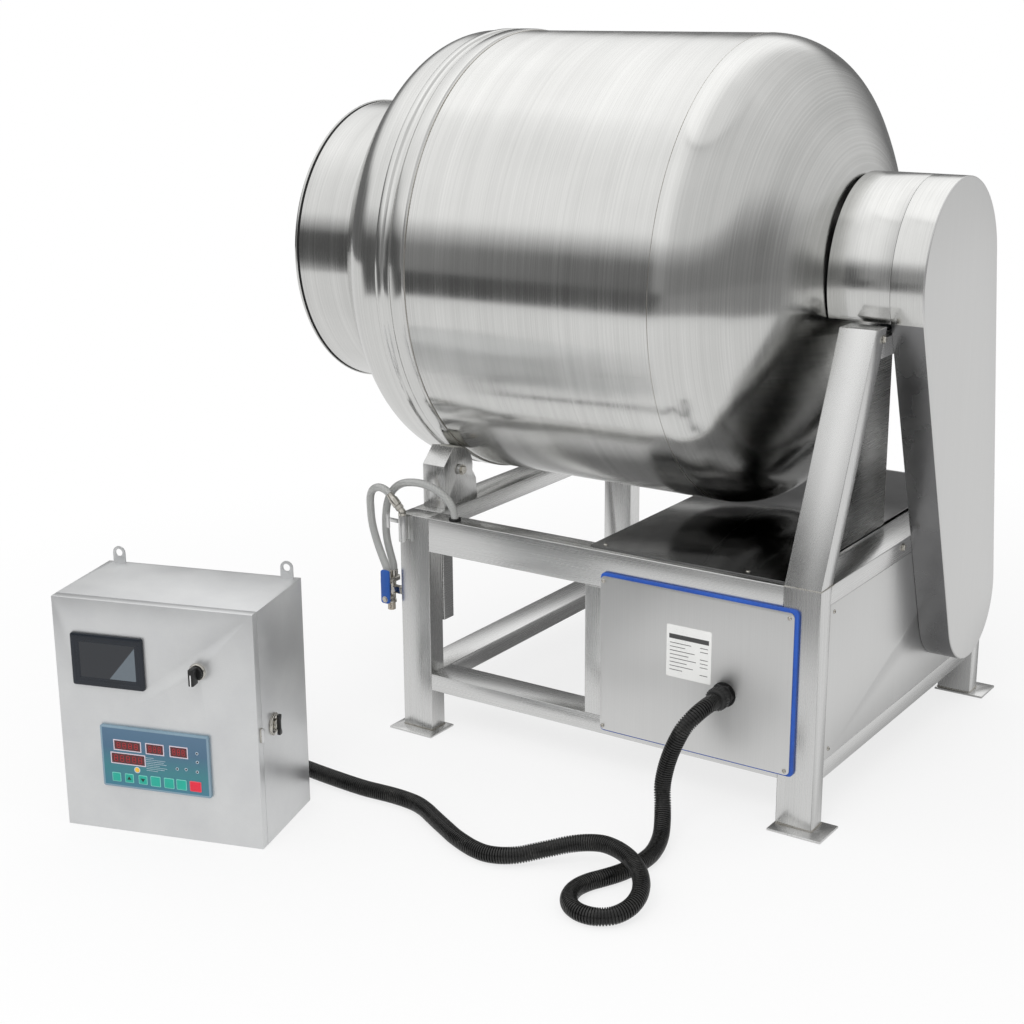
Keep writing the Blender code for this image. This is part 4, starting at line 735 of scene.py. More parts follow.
def makeGuard():
    # A rim bent round and a flat plate welded over it, the corner ground to a small radius
    (low, high), sheet, corner = covers["guardX"], covers["sheet"], covers["corner"]
    rows = [(beltLine(2 * sheet), high - sheet), (beltLine(sheet), high - sheet - 0.001), (beltLine(sheet), low),
            (beltLine(0), low + 0.0001)]
    for k in range(5):
        t = math.pi / 8 * k
        rows.append((beltLine(corner - corner * math.cos(t)), high - corner + corner * math.sin(t)))
    bm = terraced(rows, "X")[0]
    bottom = covers["shroudBottom"]
    bmesh.ops.bisect_plane(bm, geom=bm.verts[:] + bm.edges[:] + bm.faces[:], plane_co=(0, 0, bottom),
                           plane_no=(0, 0, 1))
    # Side faces: below the shroud's edge the rim takes the sheet painted dark (a painted reflection), above it
    # the shroud's brushing
    for face in bm.faces:
        middle = face.calc_center_median()
        if abs(face.normal.x) < 0.5 and middle.x < high - corner:
            face.material_index = 2 if middle.z > bottom else 1
    keepPiece("chain_guard_welded", bm, [satinSheet, rimSheetPaintedDark, shroudSteel], "frame", ["chain_guard"],
              30)


def shroudSkin():
    # The same belt brushing as the tubes, run round the arch
    material, tree, shader = newMaterial("brushed304Shroud", "#dcdcda", 1.0, 0.2)
    lines = grain(tree, (650, 4, 4))
    clouds = grain(tree, (7, 6, 6), 5.0)
    wear(tree, shader, blended(tree, (lines, 0.5), (clouds, 0.5)), ("#cfcfcd", "#e2e2e0"), (0.14, 0.24),
         (0.36, 0.64), (lines, 0.00003, 0.2))
    return material


def makeShroud():
    y, z, radius = covers["guardTop"]
    side = math.asin((covers["shroudBottom"] - z) / radius)
    inner = math.asin((covers["shroudBottom"] - z) / (radius - covers["sheet"]))
    outline = arcPoints((y, z), radius, side, math.pi - side, 72)
    outline += arcPoints((y, z), radius - covers["sheet"], math.pi - inner, inner, 72)
    bm = slab(outline, "X", *covers["shroudX"])
    bmesh.ops.bevel(bm, geom=[e for e in bm.edges if e.calc_face_angle(0) > 1], offset=0.0004, segments=2,
                    profile=0.5, affect="EDGES", material=-1, clamp_overlap=True)
    keepPiece("shroud_rolled", bm, shroudSteel, "frame", ["shroud"], 30)


def coverScrews():
    heads = [screw((x, y, z), along, radius) for xs, ys, zs, along, radius in covers["screwRows"]
             for x in xs for y in ys for z in zs]
    heads += [hexHead(place, (1, 0, 0), 0.0065, 0.005) for place in covers["guardBolts"]]
    keepPiece("cover_screws", joined(*heads), plated, "frame", smooth=40)


def ratingSticker():
    # A plain white sticker with a grey bar and thin plain lines
    x0, x1, z0, z1 = covers["sticker"]
    back = covers["stickerY"]
    front, top = back - covers["film"], back - covers["print"]
    parts = [slab(rounded(x0, x1, z0, z1, 0.003), "Y", front, back),
             (block((x0 + 0.006, top, z1 - 0.030), (x1 - 0.006, front, z1 - 0.020)), 1)]
    for k, reach in enumerate((0.050, 0.036, 0.058, 0.044, 0.062, 0.040, 0.055, 0.030)):
        z = z1 - 0.040 - 0.0085 * k
        parts.append((block((x0 + 0.008, top, z), (x0 + 0.008 + reach, front, z + 0.0014)), 1))
        if k not in (2, 6):
            parts.append((block((x1 - 0.026, top, z), (x1 - 0.008, front, z + 0.0014)), 1))
    # Glossy vinyl film, faintly greyed by cleaning, with thermal print on it
    film = evenGrain("vinylStickerFilm", ("#e2e2e0", "#ececea"), 0.0, (0.25, 0.35), 300, 0.00001)
    ink = evenGrain("greyPrintInk", ("#3c3c3c", "#4a4a4a"), 0.0, (0.35, 0.45), 300, 0.00001)
    keepPiece("rating_sticker", joined(*parts), [film, ink], "frame")


shroudSteel = shroudSkin()
makeGuard()
makeShroud()
for node in ("drive_end_panel", "rear_panel"):
    keepPiece(node + "_sheet", eased(node, 0.0006, 2, 45), satinSheet, "frame", [node], 30)
# The panel stops short of its gasket, so that a blue line shows at the top and the right
serviceOutline = rounded(*covers["serviceSheet"], covers["serviceCorner"])
keepPiece("service_panel_sheet", slab(serviceOutline, "Y", *covers["serviceY"], 0.0006), satinSheet, "frame",
          ["service_panel"], 30)
keepPiece("top_cover_sheet", eased("top_cover", 0.0008, 2, 45), polishedSteelPaintedDark, "frame", ["top_cover"],
          30)
keepPiece("panel_gasket_soft", eased("panel_gasket", 0.0012, 3, 45), silicone, "frame", ["panel_gasket"],
          30)
coverScrews()
ratingSticker()
print("covers made")

# Vacuum line on the front leg at the mouth end
line = {
    "valve": (-1.053, -0.002), "base": 0.279, "block": (0.345, 0.358), "stem": 0.312,
    "lever": (-1.047, -0.0283), "knee": (-0.998, -0.025, 0.529), "railHole": (-0.876, 0.009, 0.5203),
}


def swivelElbow():
    knee = Vector(line["knee"])
    way = Vector((-1, 0, 1)).normalized()
    stem = turned([(-0.030, 0.0055), (-0.0095, 0.0055), (-0.0095, 0.0088), (-0.0088, 0.009), (-0.003, 0.009),
                   (0.003, 0.0075), (0.006, 0.004)], 24, knee)
    collar = turned([(-0.004, 0.0078), (0.006, 0.0078), (0.007, 0.0098), (0.015, 0.0098), (0.016, 0.0078),
                     (0.019, 0.0078)], 6, knee, way)
    sleeve = turned([(0.017, 0.0095), (0.018, 0.0105), (0.034, 0.0105), (0.036, 0.0098), (0.038, 0.0085),
                     (0.050, 0.0080)], 24, knee, way)
    keepPiece("swivel_elbow", joined(stem, collar, sleeve), plated, "frame", ["hose_elbow"], 40)
    keepPiece("hose_holder_tube", eased("hose_holder", 0.0006, 2, 45), steelAlongZ, "frame", ["hose_holder"],
              40)


def ballValve():
    (x, y), base, (low, high) = line["valve"], line["base"], line["block"]
    body = [turned([(base, 0.0085), (base + 0.001, 0.009), (base + 0.018, 0.009), (base + 0.018, 0.012),
                    (0.302, 0.0120), (0.305, 0.0105), (0.320, 0.0105), (0.323, 0.012), (low + 0.004, 0.012)],
                   24, (x, y, 0)),
            block((x - 0.013, y - 0.024, low), (x + 0.009, y + 0.024, high), 0.0015),
            block((x, y - 0.007, 0.322), (-1.0153, y + 0.009, 0.338), 0.001)]
    for shift in (0.013, -0.013):
        barbs = [(high - 0.001, 0.0100), (high + 0.002, 0.0105), (high + 0.004, 0.0097), (high + 0.007, 0.0105),
                 (high + 0.010, 0.0097), (high + 0.013, 0.0104), (high + 0.014, 0.0095)]
        body.append(turned(barbs, 24, (x - 0.002, y + shift, 0)))
    body.append(turned([(0, 0.0055), (0.026, 0.0055)], 20, (x + 0.006, y, line["stem"]), (0, -1, 0)))
    thread = [(base, 0.0087)]
    for k in range(9):
        thread += [(base + 0.002 * k + 0.0005, 0.0092), (base + 0.002 * k + 0.0015, 0.0084)]
    thread += [(base + 0.018, 0.006), (base, 0.006)]
    body.append((turned(thread, 24, (x, y, 0), ring=True), 1))
    keepPiece("ball_valve", joined(*body), [plated, brass], "frame", ["valve_body"], 40)


def valveLever():
    (x, y), z = line["lever"], line["stem"]
    blade = slab(rounded(x - 0.012, x + 0.012, z - 0.010, z + 0.070, 0.006), "Y", y - 0.006, y, 0.0016, 3)
    nut = hexHead((x, y - 0.0055, z), (0, -1, 0), 0.0055, 0.0035)
    keepPiece("valve_lever_dipped", joined(blade, (nut, 1)), [dippedVinyl, plated], "lever", ["valve_lever"],
              40)


def hoseHookAndGrommet():
    strip = slab(rounded(-1.0475, -1.0385, 0.481, 0.516, 0.002), "Y", -0.0205, -0.0185, 0.0005)
    hook = block((-1.0405, -0.0205, 0.497), (-1.0145, -0.0185, 0.507), 0.0005)
    keepPiece("hose_hook_strip", joined(strip, hook), steelAlongZ, "frame")
    x, y, z = line["railHole"]
    lip = [(z, 0.0098), (z, 0.0135), (z + 0.0022, 0.0140), (z + 0.0037, 0.0125), (z + 0.0037, 0.0098)]
    keepPiece("rail_grommet", turned(lip, 32, (x, y, 0), ring=True), nitrile, "frame",
              smooth=40)


swivelElbow()
ballValve()
valveLever()
hoseHookAndGrommet()

# Cable gland: hexagon on the panel and a ribbed dome nut
gland = {"place": (-0.176, -0.0236, 0.266), "length": 0.040, "radius": 0.024, "ribs": 24}


def makeGland():
    r, reach, place = gland["radius"], gland["length"], gland["place"]
    core = [(-0.012, 0.0144), (0, 0.0144), (0, r + 0.003), (0.001, r + 0.003), (0.0015, r - 0.003),
            (0.020, r - 0.003), (0.020, r - 0.001), (0.022, r), (0.034, r - 0.0005), (0.038, r - 0.003),
            (reach, r - 0.0055)]
    hexagon = [(0.0015, r + 0.0015), (0.009, r + 0.0015), (0.010, r)]
    parts = [turned(core, 40, place, (0, -1, 0)), turned(hexagon, 6, place, (0, -1, 0))]
    outwards = Vector((0, -1, 0)).to_track_quat("Z", "Y").to_matrix().to_4x4()
    for k in range(gland["ribs"]):
        rib = block((r - 0.002, -0.0009, 0.0215), (r + 0.0006, 0.0009, 0.035), 0.0003, 1)
        spoke = Matrix.Rotation(2 * math.pi * k / gland["ribs"], 4, "Z")
        rib.transform(Matrix.Translation(place) @ outwards @ spoke)
        parts.append(rib)
    keepPiece("conduit_gland_ribbed", joined(*parts), blackPlastic, "frame", ["conduit_gland"],
              40)


makeGland()
print("vacuum line and gland made")

# Control box, in its own frame: x from its left side, y back from the door's face, z up
box = {
    "corner": (-1.286, -0.808, 0.0), "turn": 17.3,     # degrees
    "width": 0.440,
    "display": (0.0395, 0.317, 0.160, 0.111),          # left, bottom, width, height
    "controller": (0.092, 0.101, 0.242, 0.134),
    "bezel": 0.007,
    "knob": (0.316, 0.370),
    "latch": (0.075, 0.243),
    "keys": (0.1234, 0.1521, 0.1829, 0.2112, 0.2415, 0.2692, 0.3003), "keyRow": 0.1235,
    "keyHalf": (0.0098, 0.0113, 0.0128), "keyRise": (0.0098, 0.0112, 0.0112),    # arrow keys, others, red key
    "lamps": ((0.2616, 0.1575), (0.2813, 0.1586), (0.3073, 0.1964), (0.3073, 0.1776), (0.306, 0.1562)),
    "windows": ((0.123, 0.181, 0.185, 0.204, 4), (0.115, 0.189, 0.155, 0.176, 5),
                (0.195, 0.232, 0.184, 0.204, 3), (0.2485, 0.285, 0.184, 0.2045, 3)),
    "button": (0.171, 0.144),
    "wedge": (0.124, 0.337), "wedgeSlope": 1.25,       # foot and slope of the screen's pale wedge
}
boxPlace = Matrix.Translation(box["corner"]) @ Matrix.Rotation(math.radians(box["turn"]), 4, "Z")


def keepOnBox(name, bm, material, body, hides=(), smooth=35):
    bm.transform(boxPlace)
    return keepPiece(name, bm, material, body, hides, smooth)


def bezelled(area, steps, backDepth):
    # A moulded front built of terraces of (inset, level), and the body of the instrument behind it
    left, low, wide, tall = area
    rows = []
    for inset, level in steps:
        corner = max(0.005 - inset, 0.0012)
        rows.append((rounded(left + inset, left + wide - inset, low + inset, low + tall - inset, corner), level))
    front, lids = terraced(rows, "Y")
    lids[1].material_index = 1
    back = block((left + 0.006, -0.0005, low + 0.006), (left + wide - 0.006, backDepth, low + tall - 0.006),
                 0.001)
    return joined(front, back)


def screenGlass():
    # Switched-off screen under hard coated film: near black, with a painted reflection as a paler wedge at the
    # lower right
    material, tree, shader = newMaterial("darkScreenFilm", "#20252c", 0.0, 0.12, Coat_Weight=0.4,
                                         Coat_Roughness=0.05)
    where = addNode(tree, "TexCoord").outputs["Object"]
    # The wedge starts at its foot on the screen's lower edge, and its side climbs to the right
    foot = boxPlace @ Vector((box["wedge"][0], 0, box["wedge"][1]))
    place = addNode(tree, "Mapping", {"Location": (-foot.x, 0, -foot.z)}, {"Vector": where})
    parts = addNode(tree, "SeparateXYZ", None, {0: place.outputs[0]})
    lean = addNode(tree, "Math", {"operation": "MULTIPLY", 1: box["wedgeSlope"]},
                   {0: parts.outputs["X"]}).outputs[0]
    across = addNode(tree, "Math", {"operation": "SUBTRACT"}, {0: lean, 1: parts.outputs["Z"]}).outputs[0]
    side = addNode(tree, "MapRange", {"From Min": 0.0, "From Max": 0.002}, {"Value": across}).outputs[0]
    # The paler colour is the painted reflection, laid on by the wedge's mask
    wear(tree, shader, side, ("#141920", "#5d676f"), (0.1, 0.2), (0.0, 1.0))
    return material


def makeDisplay():
    front = -box["bezel"]
    steps = ((0, -0.0003), (0, front + 0.0018), (0.0006, front + 0.0005), (0.0018, front),
             (0.0085, front + 0.0001), (0.0097, front + 0.0012), (0.0150, front + 0.0013),
             (0.0158, front + 0.0020), (0.0178, front + 0.0021), (0.0184, front + 0.0026))
    # Moulded ABS with a fine spark texture, navy black
    shell = evenGrain("navyBlackAbs", ("#0d131b", "#151d28"), 0.0, (0.22, 0.34), 600, 0.00003)
    keepOnBox("touch_display_framed", bezelled(box["display"], steps, 0.018), [shell, screenGlass()], "door",
              ["touch_display"], 30)


def filmSkin():
    # Back-printed polyester film: blue grey ink that turns teal at the row of keys
    material, tree, shader = newMaterial("blueGreyKeypadFilm", "#4d7091", 0.0, 0.35)
    where = addNode(tree, "TexCoord").outputs["Object"]
    height = addNode(tree, "SeparateXYZ", None, {0: where}).outputs["Z"]
    field = addNode(tree, "MapRange", {"From Min": 0.10, "From Max": 0.235}, {"Value": height}).outputs[0]
    fine = grain(tree, (900, 900, 900), 2.0)
    wear(tree, shader, field, ("#41748a", "#387880", "#45667f", "#4f6d86"), (0.3, 0.36), (0.0, 1.0),
         (fine, 0.00001, 0.5))
    return material


def windowsAndLines():
    # Printed on the keypad film: windows with pale borders, lamps, a round button and thin plain lines
    level = -box["bezel"] + 0.0003
    parts = []

    def bar(x0, x1, z0, z1, number, out):
        parts.append((slab(rounded(x0, x1, z0, z1, 0.0005, 2), "Y", level - out, level + 0.0002), number))

    def dot(x, z, profile, number):
        parts.append((turned(profile, 24, (x, level, z), (0, -1, 0)), number))

    for x0, x1, z0, z1, digits in box["windows"]:
        bar(x0 - 0.0022, x1 + 0.0022, z0 - 0.0022, z1 + 0.0022, 0, 0.0002)
        bar(x0, x1, z0, z1, 1, 0.0004)
        pitch = (x1 - x0 - 0.006) / digits
        for k in range(digits):
            a = x0 + 0.003 + pitch * (k + 0.2)
            b = a + pitch * 0.6
            c0, c1 = z0 + 0.0035, z1 - 0.0035
            for z in (c0, (c0 + c1) / 2 - 0.0006, c1 - 0.0012):
                bar(a + 0.0012, b - 0.0012, z, z + 0.0012, 2, 0.0005)
            for x in (a, b - 0.0012):
                bar(x, x + 0.0012, c0 + 0.001, c1 - 0.001, 2, 0.0005)
    for x, z in box["lamps"]:
        dot(x, z, [(0, 0.0032), (0.0003, 0.0032)], 5)
        dot(x, z, [(0, 0.0022), (0.0008, 0.0019), (0.0012, 0.0010), (0.0013, 0)], 4)
    x, z = box["button"]
    dot(x, z, [(0, 0.0068), (0.0004, 0.0068)], 5)
    dot(x, z, [(0, 0.0056), (0.0014, 0.0045), (0.002, 0.0022), (0.0021, 0)], 3)
    for k, reach in enumerate((0.018, 0.044, 0.040, 0.046, 0.030, 0.047, 0.041, 0.026)):
        bar(0.192, 0.192 + reach, 0.1735 - 0.0040 * k, 0.1743 - 0.0040 * k, 5, 0.0002)
    return joined(*parts)


def filmInks():
    # Screen inks under the film, red filter windows over unlit segments, and small moulded lenses
    return [evenGrain("paleFilmInk", ("#c9bcc8", "#d5cad4"), 0.0, (0.35, 0.4), 300, 0.00001),
            evenGrain("redFilterWindow", ("#44070c", "#520a11"), 0.0, (0.15, 0.22), 300, 0.00001,
                      Coat_Weight=0.5),
            evenGrain("redSegments", ("#a0161d", "#b01c24"), 0.0, (0.25, 0.3), 300, 0.00001),
            evenGrain("amberLens", ("#d9a521", "#eec13c"), 0.0, (0.15, 0.25), 300, 0.00001, Coat_Weight=0.6),
            evenGrain("darkLens", ("#14161b", "#1d2027"), 0.0, (0.15, 0.25), 300, 0.00001, Coat_Weight=0.6),
            evenGrain("whiteFilmInk", ("#b9c7d2", "#c9d5de"), 0.0, (0.35, 0.4), 300, 0.00001)]


def makeKey(number, middle, skins):
    kind = 0 if number < 4 else (2 if number == 7 else 1)
    half, rise = box["keyHalf"][kind], box["keyRise"][kind]
    z = box["keyRow"]
    skirt = slab(rounded(middle - half, middle + half, z - rise, z + rise, 0.0018, 3), "Y", -0.0076, -0.0050,
                 0.0003)
    face = slab(rounded(middle - half + 0.0014, middle + half - 0.0014, z - rise + 0.0014, z + rise - 0.0014,
                        0.001, 3), "Y", -0.0080, -0.0074, 0.0002)
    parts = [(skirt, 1), (face, 0)]
    if number in (2, 3):
        way = 1 if number == 2 else -1
        arrow = [(middle - 0.005, z - 0.003 * way), (middle + 0.005, z - 0.003 * way),
                 (middle, z + 0.0045 * way)]
        parts.append((slab(arrow, "Y", -0.0082, -0.0079), 2))
    keepOnBox(f"key_{number}_cap", joined(*parts), skins, "key_" + "abcdefg"[number - 1], [f"key_{number}"],
              30)


def makeController():
    front = -box["bezel"]
    steps = ((0, -0.0003), (0, front + 0.0016), (0.0005, front + 0.0005), (0.0016, front),
             (0.0042, front + 0.0001), (0.0046, front + 0.0003))
    housing = evenGrain("blueGreyHousing", ("#758e9e", "#829baa"), 0.0, (0.35, 0.45), 500, 0.00003)
    keepOnBox("controller_housing", bezelled(box["controller"], steps, 0.030), [housing, filmSkin()], "door",
              ["controller"], 30)
    keepOnBox("controller_print", windowsAndLines(), filmInks(), "door", smooth=40)
    # Embossed key domes in the same film, each with a paler border
    teal = evenGrain("tealKeyInk", ("#159a88", "#1fae9b"), 0.0, (0.3, 0.4), 400, 0.00001)
    pale = evenGrain("paleTealKeyInk", ("#6fc4b6", "#82d0c3"), 0.0, (0.3, 0.4), 400, 0.00001)
    red = evenGrain("redKeyInk", ("#cf1730", "#df2440"), 0.0, (0.3, 0.4), 400, 0.00001)
    rose = evenGrain("roseKeyInk", ("#d8505f", "#e0606e"), 0.0, (0.3, 0.4), 400, 0.00001)
    dark = evenGrain("darkKeyInk", ("#0e2b2a", "#143533"), 0.0, (0.35, 0.45), 400, 0.00001)
    for number, middle in enumerate(box["keys"], 1):
        makeKey(number, middle, [red, rose] if number == 7 else [teal, pale, dark])


def makeKnob():
    across, up = box["knob"]
    place = (across, 0, up)
    base = turned([(-0.012, 0.004), (0.0003, 0.004), (0.0003, 0.0138), (0.002, 0.0145), (0.0105, 0.0138),
                   (0.0115, 0.0128)], 40, place, (0, -1, 0))
    grip = block((across - 0.0055, -0.0320, up - 0.0200), (across + 0.0055, -0.0095, up + 0.0150), 0.0016, 3)
    pointer = block((across - 0.0010, -0.0323, up - 0.0192), (across + 0.0010, -0.0315, up + 0.0040))
    nose = block((across - 0.0010, -0.0318, up - 0.0203), (across + 0.0010, -0.0120, up - 0.0198))
    whiteInk = evenGrain("whitePointerInk", ("#dcdcdc", "#e8e8e8"), 0.0, (0.4, 0.5), 300, 0.00001)
    keepOnBox("selector_knob_winged", joined(base, grip, (pointer, 1), (nose, 1)), [blackPlastic, whiteInk],
              "knob", ["selector_knob"], 40)
    collar = [(0.0001, 0.0148), (0.0001, 0.0180), (0.0015, 0.0180), (0.0045, 0.0170), (0.0055, 0.0160),
              (0.0055, 0.0148)]
    keepOnBox("selector_collar", turned(collar, 40, place, (0, -1, 0), True), plated, "door",
              smooth=40)


def makeLatch():
    back, up = box["latch"]
    side = box["width"]
    centre = (side, back, up)
    plate = turned([(0.0003, 0.0228), (0.0010, 0.0235), (0.0026, 0.0235), (0.0034, 0.0222)], 40, centre,
                   (1, 0, 0))
    dish = turned([(0.0034, 0.0130), (0.0034, 0.0205), (0.0048, 0.0200), (0.0054, 0.0186), (0.0054, 0.0145),
                   (0.0046, 0.0130)], 40, centre, (1, 0, 0), True)
    hub = turned([(0.0034, 0.0112), (0.0095, 0.0106), (0.0102, 0.0096)], 32, centre, (1, 0, 0))
    quarter = [(0.0026, 0.007), (0.0058, 0.016), (0.0052, 0.0212)]
    wing = [(back + sideways * a, up + upwards * b) for sideways, upwards, run in (
        (-1, -1, quarter), (1, -1, quarter[::-1]), (1, 1, quarter), (-1, 1, quarter[::-1])) for a, b in run]
    handle = slab(wing, "X", side + 0.0095, side + 0.0160, 0.0008, 2)
    keepOnBox("twist_latch", joined(plate, dish, hub, (handle, 1)), [plated, blackPlastic], "latch",
              ["box_latch"], 40)
    keeper = slab(rounded(0.0080, 0.0195, up - 0.0150, up + 0.0150, 0.003), "X", side + 0.0002, side + 0.0028,
                  0.0005)
    stud = turned([(0.0028, 0.004), (0.0060, 0.0035), (0.0066, 0.0020)], 20, (side, 0.0138, up), (1, 0, 0))
    keepOnBox("latch_keeper", joined(keeper, stud), plated, "door")


for node, body in (("box_shell", "frame"), ("box_door", "door")):
    keepPiece(node + "_folded", eased(node, 0.0016, 3, 45), blastedSteel, body, [node], 30)
makeDisplay()
makeController()
makeKnob()
makeLatch()
print("control box made")

# Studio. Metal mirrors a plain room: pale walls and floor, a dark strip low on the camera's side and a painted
# shadow on the floor under the machine
studio = {
    "paper": "#f2f2f2", "size": 14.0, "fill": 0.85,
    "shadow": (1.2, 3.0), "whitened": 0.75,      # over this span of distances the floor turns plain white
    "floorGlow": 0.82, "farDark": (4.3, 40), "darkStrip": 0.09, "greyStrip": 0.28,
    "greyFrom": ((-2.3, -1.5), (-0.47, -0.30)),        # X on the floor and of the direction where the strip greys
    # Region under the machine and the level of its painted shadow, seen only in metal
    "under": ((-1.25, 0.10), (0.14, 1.5)), "paintedShadowUnderGlow": 0.17,
    "lamp": ((0.5, -3.5, 4.0), (-0.4, 0.2, 0.6), (3.0, 2.0), 90),      # place, target, size, watts
    # Levels of the room by the sine of the height: above and below the strip on the camera's side, then behind
    "frontLow": ((-1, 0.8), (-0.20, 0.8)), "strip": (-0.17, 0.13),
    "frontHigh": ((0.24, 0.5), (0.34, 0.88), (0.88, 0.92), (0.902, 0.62), (0.91, 1.12), (1, 1.12)),
    "backLeft": ((-1, 0.3), (0.0, 0.14), (0.30, 0.16), (0.46, 0.95), (0.8, 1.12), (1, 1.12)),
    "backRight": ((-1, 0.85), (0.0, 0.85), (0.3, 0.8), (0.5, 0.9), (1, 1.12)),
    # Levels by X: a soft bright column to the left of the drive end, and a dimmer right-hand side
    "column": ((-1, 1.0), (-0.50, 1.0), (-0.42, 1.18), (-0.18, 1.18), (0.02, 0.78), (1, 0.8)),
}


def fades(tree, value, span, width):
    # 1 within the span, 0 outside, with soft edges
    low, high = span
    rises = addNode(tree, "MapRange", {"From Min": low - width, "From Max": low + width}, {"Value": value})
    falls = addNode(tree, "MapRange", {"From Min": high + width, "From Max": high - width}, {"Value": value})
    return addNode(tree, "Math", {"operation": "MULTIPLY"},
                   {0: rises.outputs[0], 1: falls.outputs[0]}).outputs[0]


def makeFloor():
    s = studio
    bm = bmesh.new()
    bmesh.ops.create_grid(bm, x_segments=1, y_segments=1, size=s["size"],
                          matrix=Matrix.Translation((0, 0, -0.0004)))
    mesh = bpy.data.meshes.new("studioFloor")
    bm.to_mesh(mesh)
    bm.free()
    material, tree, shader = newMaterial("paperSweep", s["paper"], 0.0, 0.9)
    rays = addNode(tree, "LightPath")
    where = addNode(tree, "TexCoord").outputs["Object"]
    parts = addNode(tree, "SeparateXYZ", None, {0: where})
    reach = addNode(tree, "VectorMath", {"operation": "LENGTH"}, {0: where}).outputs["Value"]
    # Seen by the camera: white paper that keeps a faint shadow near the object
    away = addNode(tree, "MapRange", {"From Min": s["shadow"][0], "From Max": s["shadow"][1],
                                      "To Min": s["whitened"]}, {"Value": reach})
    share = addNode(tree, "Math", {"operation": "MULTIPLY"},
                    {0: rays.outputs["Is Camera Ray"], 1: away.outputs[0]}).outputs[0]
    glow = addNode(tree, "Emission", {"Color": (1, 1, 1, 1), "Strength": 1.0})
    seen = addNode(tree, "MixShader", None, {0: share, 1: shader.outputs[0], 2: glow.outputs[0]})
    # Mirrored in metal: dark far off in front, a painted shadow under the machine, pale elsewhere
    underX, underY = (fades(tree, parts.outputs[axis], span, 0.2) for axis, span in zip("XY", s["under"]))
    under = addNode(tree, "Math", {"operation": "MULTIPLY"}, {0: underX, 1: underY}).outputs[0]
    far = fades(tree, reach, s["farDark"], 0.2)
    towards = blended(tree, (parts.outputs["Y"], 1.0), (parts.outputs["X"], -0.6))
    front = addNode(tree, "MapRange", {"From Min": 0.5, "From Max": -1.0}, {"Value": towards})
    strip = addNode(tree, "Math", {"operation": "MULTIPLY"}, {0: far, 1: front.outputs[0]}).outputs[0]
    first = addNode(tree, "Mix", {2: s["floorGlow"], 3: s["paintedShadowUnderGlow"]}, {0: under}).outputs[0]
    start, end = s["greyFrom"][0]
    dark = addNode(tree, "MapRange", {"From Min": start, "From Max": end, "To Min": s["darkStrip"],
                                      "To Max": s["greyStrip"]}, {"Value": parts.outputs["X"]})
    level = addNode(tree, "Mix", None, {0: strip, 2: first, 3: dark.outputs[0]}).outputs[0]
    mirrored = addNode(tree, "Emission", {"Color": (1, 1, 1, 1)}, {"Strength": level})
    both = addNode(tree, "MixShader", None,
                   {0: rays.outputs["Is Glossy Ray"], 1: seen.outputs[0], 2: mirrored.outputs[0]})
    tree.links.new(both.outputs[0], tree.nodes["Material Output"].inputs["Surface"])
    mesh.materials.append(material)
    floor = bpy.data.objects.new("studioFloor", mesh)
    bpy.context.scene.collection.objects.link(floor)


def roomLevels(tree, lift, stops):
    ramp = addNode(tree, "ValToRGB", None, {"Fac": lift})
    while len(ramp.color_ramp.elements) < len(stops):
        ramp.color_ramp.elements.new(1.0)
    for element, (sine, level) in zip(ramp.color_ramp.elements, stops):
        element.position = (sine + 1) / 2
        element.color = (level, level, level, 1)
    return ramp.outputs[0]


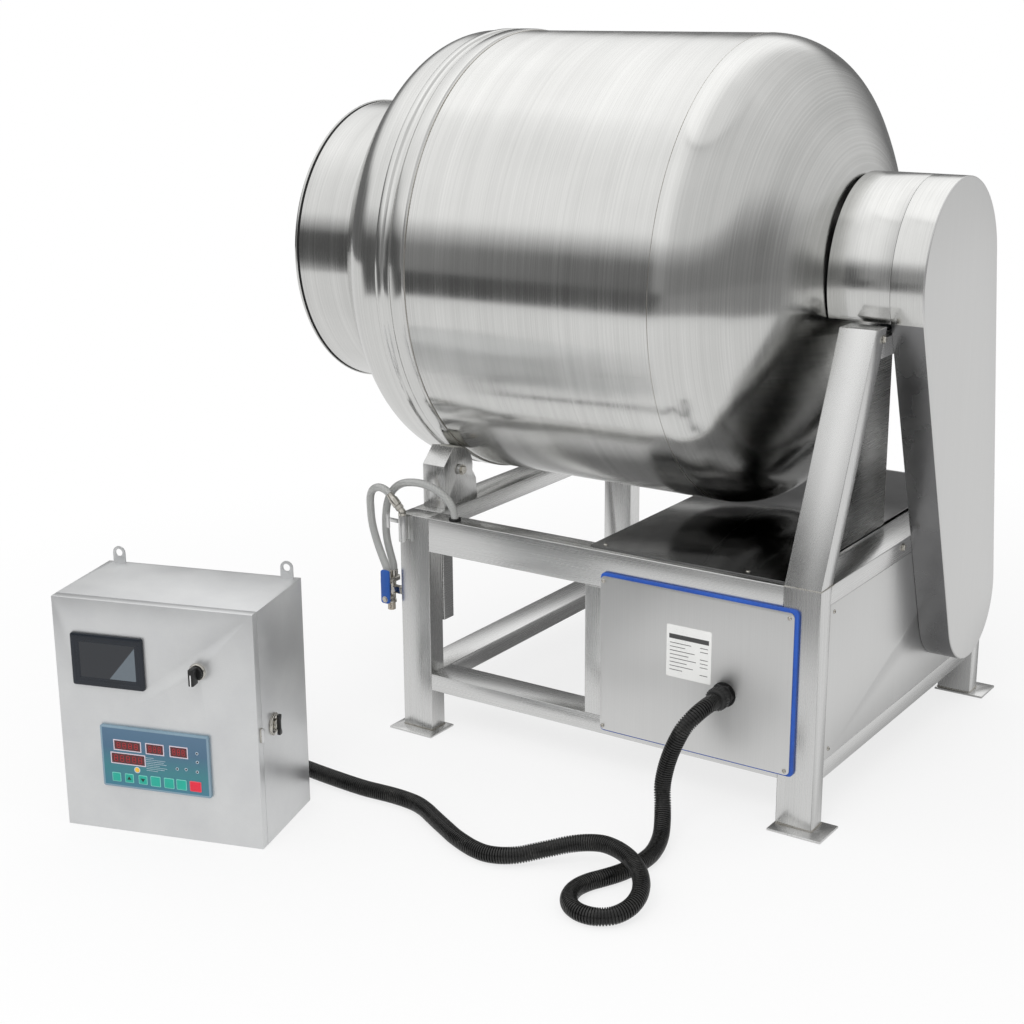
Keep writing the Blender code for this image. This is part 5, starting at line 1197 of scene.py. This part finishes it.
def makeWorld():
    s = studio
    world = bpy.data.worlds.new("studioRoom")
    bpy.context.scene.world = world
    world.use_nodes = True
    tree = world.node_tree
    tree.nodes.clear()
    rays = addNode(tree, "LightPath")
    looking = addNode(tree, "TexCoord").outputs["Generated"]
    parts = addNode(tree, "SeparateXYZ", None, {0: looking})
    lift = addNode(tree, "MapRange", {"From Min": -1, "From Max": 1}, {"Value": parts.outputs["Z"]}).outputs[0]
    # The camera's side with its dark and its grey strip, then the two halves behind the machine
    strips = (tuple((at, level) for at in s["strip"]) for level in (s["darkStrip"], s["greyStrip"]))
    front, frontRight = (roomLevels(tree, lift, s["frontLow"] + strip + s["frontHigh"]) for strip in strips)
    start, end = s["greyFrom"][1]
    turning = addNode(tree, "MapRange", {"From Min": start, "From Max": end}, {"Value": parts.outputs["X"]})
    front = addNode(tree, "Mix", {"data_type": "RGBA"},
                    {0: turning.outputs[0], 6: front, 7: frontRight}).outputs[2]
    backLeft, backRight = (roomLevels(tree, lift, s[name]) for name in ("backLeft", "backRight"))
    right = addNode(tree, "MapRange", {"From Min": -0.1, "From Max": 0.25}, {"Value": parts.outputs["X"]})
    back = addNode(tree, "Mix", {"data_type": "RGBA"},
                   {0: right.outputs[0], 6: backLeft, 7: backRight}).outputs[2]
    away = blended(tree, (parts.outputs["Y"], 1.0), (parts.outputs["X"], -0.5))
    behind = addNode(tree, "MapRange", {"From Min": -0.2, "From Max": 0.1}, {"Value": away})
    room = addNode(tree, "Mix", {"data_type": "RGBA"}, {0: behind.outputs[0], 6: front, 7: back}).outputs[2]
    turnX = addNode(tree, "MapRange", {"From Min": -1, "From Max": 1}, {"Value": parts.outputs["X"]})
    column = roomLevels(tree, turnX.outputs[0], s["column"])
    lit = addNode(tree, "Mix", {"data_type": "RGBA", "blend_type": "MULTIPLY", 0: 1.0},
                  {6: room, 7: column}).outputs[2]
    shine = addNode(tree, "Background", {"Strength": 1.0}, {"Color": lit})
    fill = addNode(tree, "Background", {"Color": (1, 1, 1, 1), "Strength": s["fill"]})
    plain = addNode(tree, "Background", {"Color": (1, 1, 1, 1), "Strength": 1.0})
    first = addNode(tree, "MixShader", None,
                    {0: rays.outputs["Is Glossy Ray"], 1: fill.outputs[0], 2: shine.outputs[0]})
    seen = addNode(tree, "Math", {"operation": "MAXIMUM"},
                   {0: rays.outputs["Is Camera Ray"], 1: rays.outputs["Is Transmission Ray"]}).outputs[0]
    second = addNode(tree, "MixShader", None, {0: seen, 1: first.outputs[0], 2: plain.outputs[0]})
    addNode(tree, "OutputWorld", None, {"Surface": second.outputs[0]})


def softLamp(name, place, target, size, power):
    lamp = bpy.data.lights.new(name, "AREA")
    lamp.shape = "RECTANGLE"
    lamp.size, lamp.size_y = size
    lamp.energy = power
    obj = bpy.data.objects.new(name, lamp)
    away = Vector(target) - Vector(place)
    obj.matrix_world = Matrix.Translation(place) @ away.to_track_quat("-Z", "Y").to_matrix().to_4x4()
    obj.visible_camera = False
    obj.visible_glossy = False
    bpy.context.scene.collection.objects.link(obj)


makeFloor()
makeWorld()
softLamp("keyLamp", *studio["lamp"])
bpy.context.scene.view_settings.view_transform = "Standard"
print("studio lit")
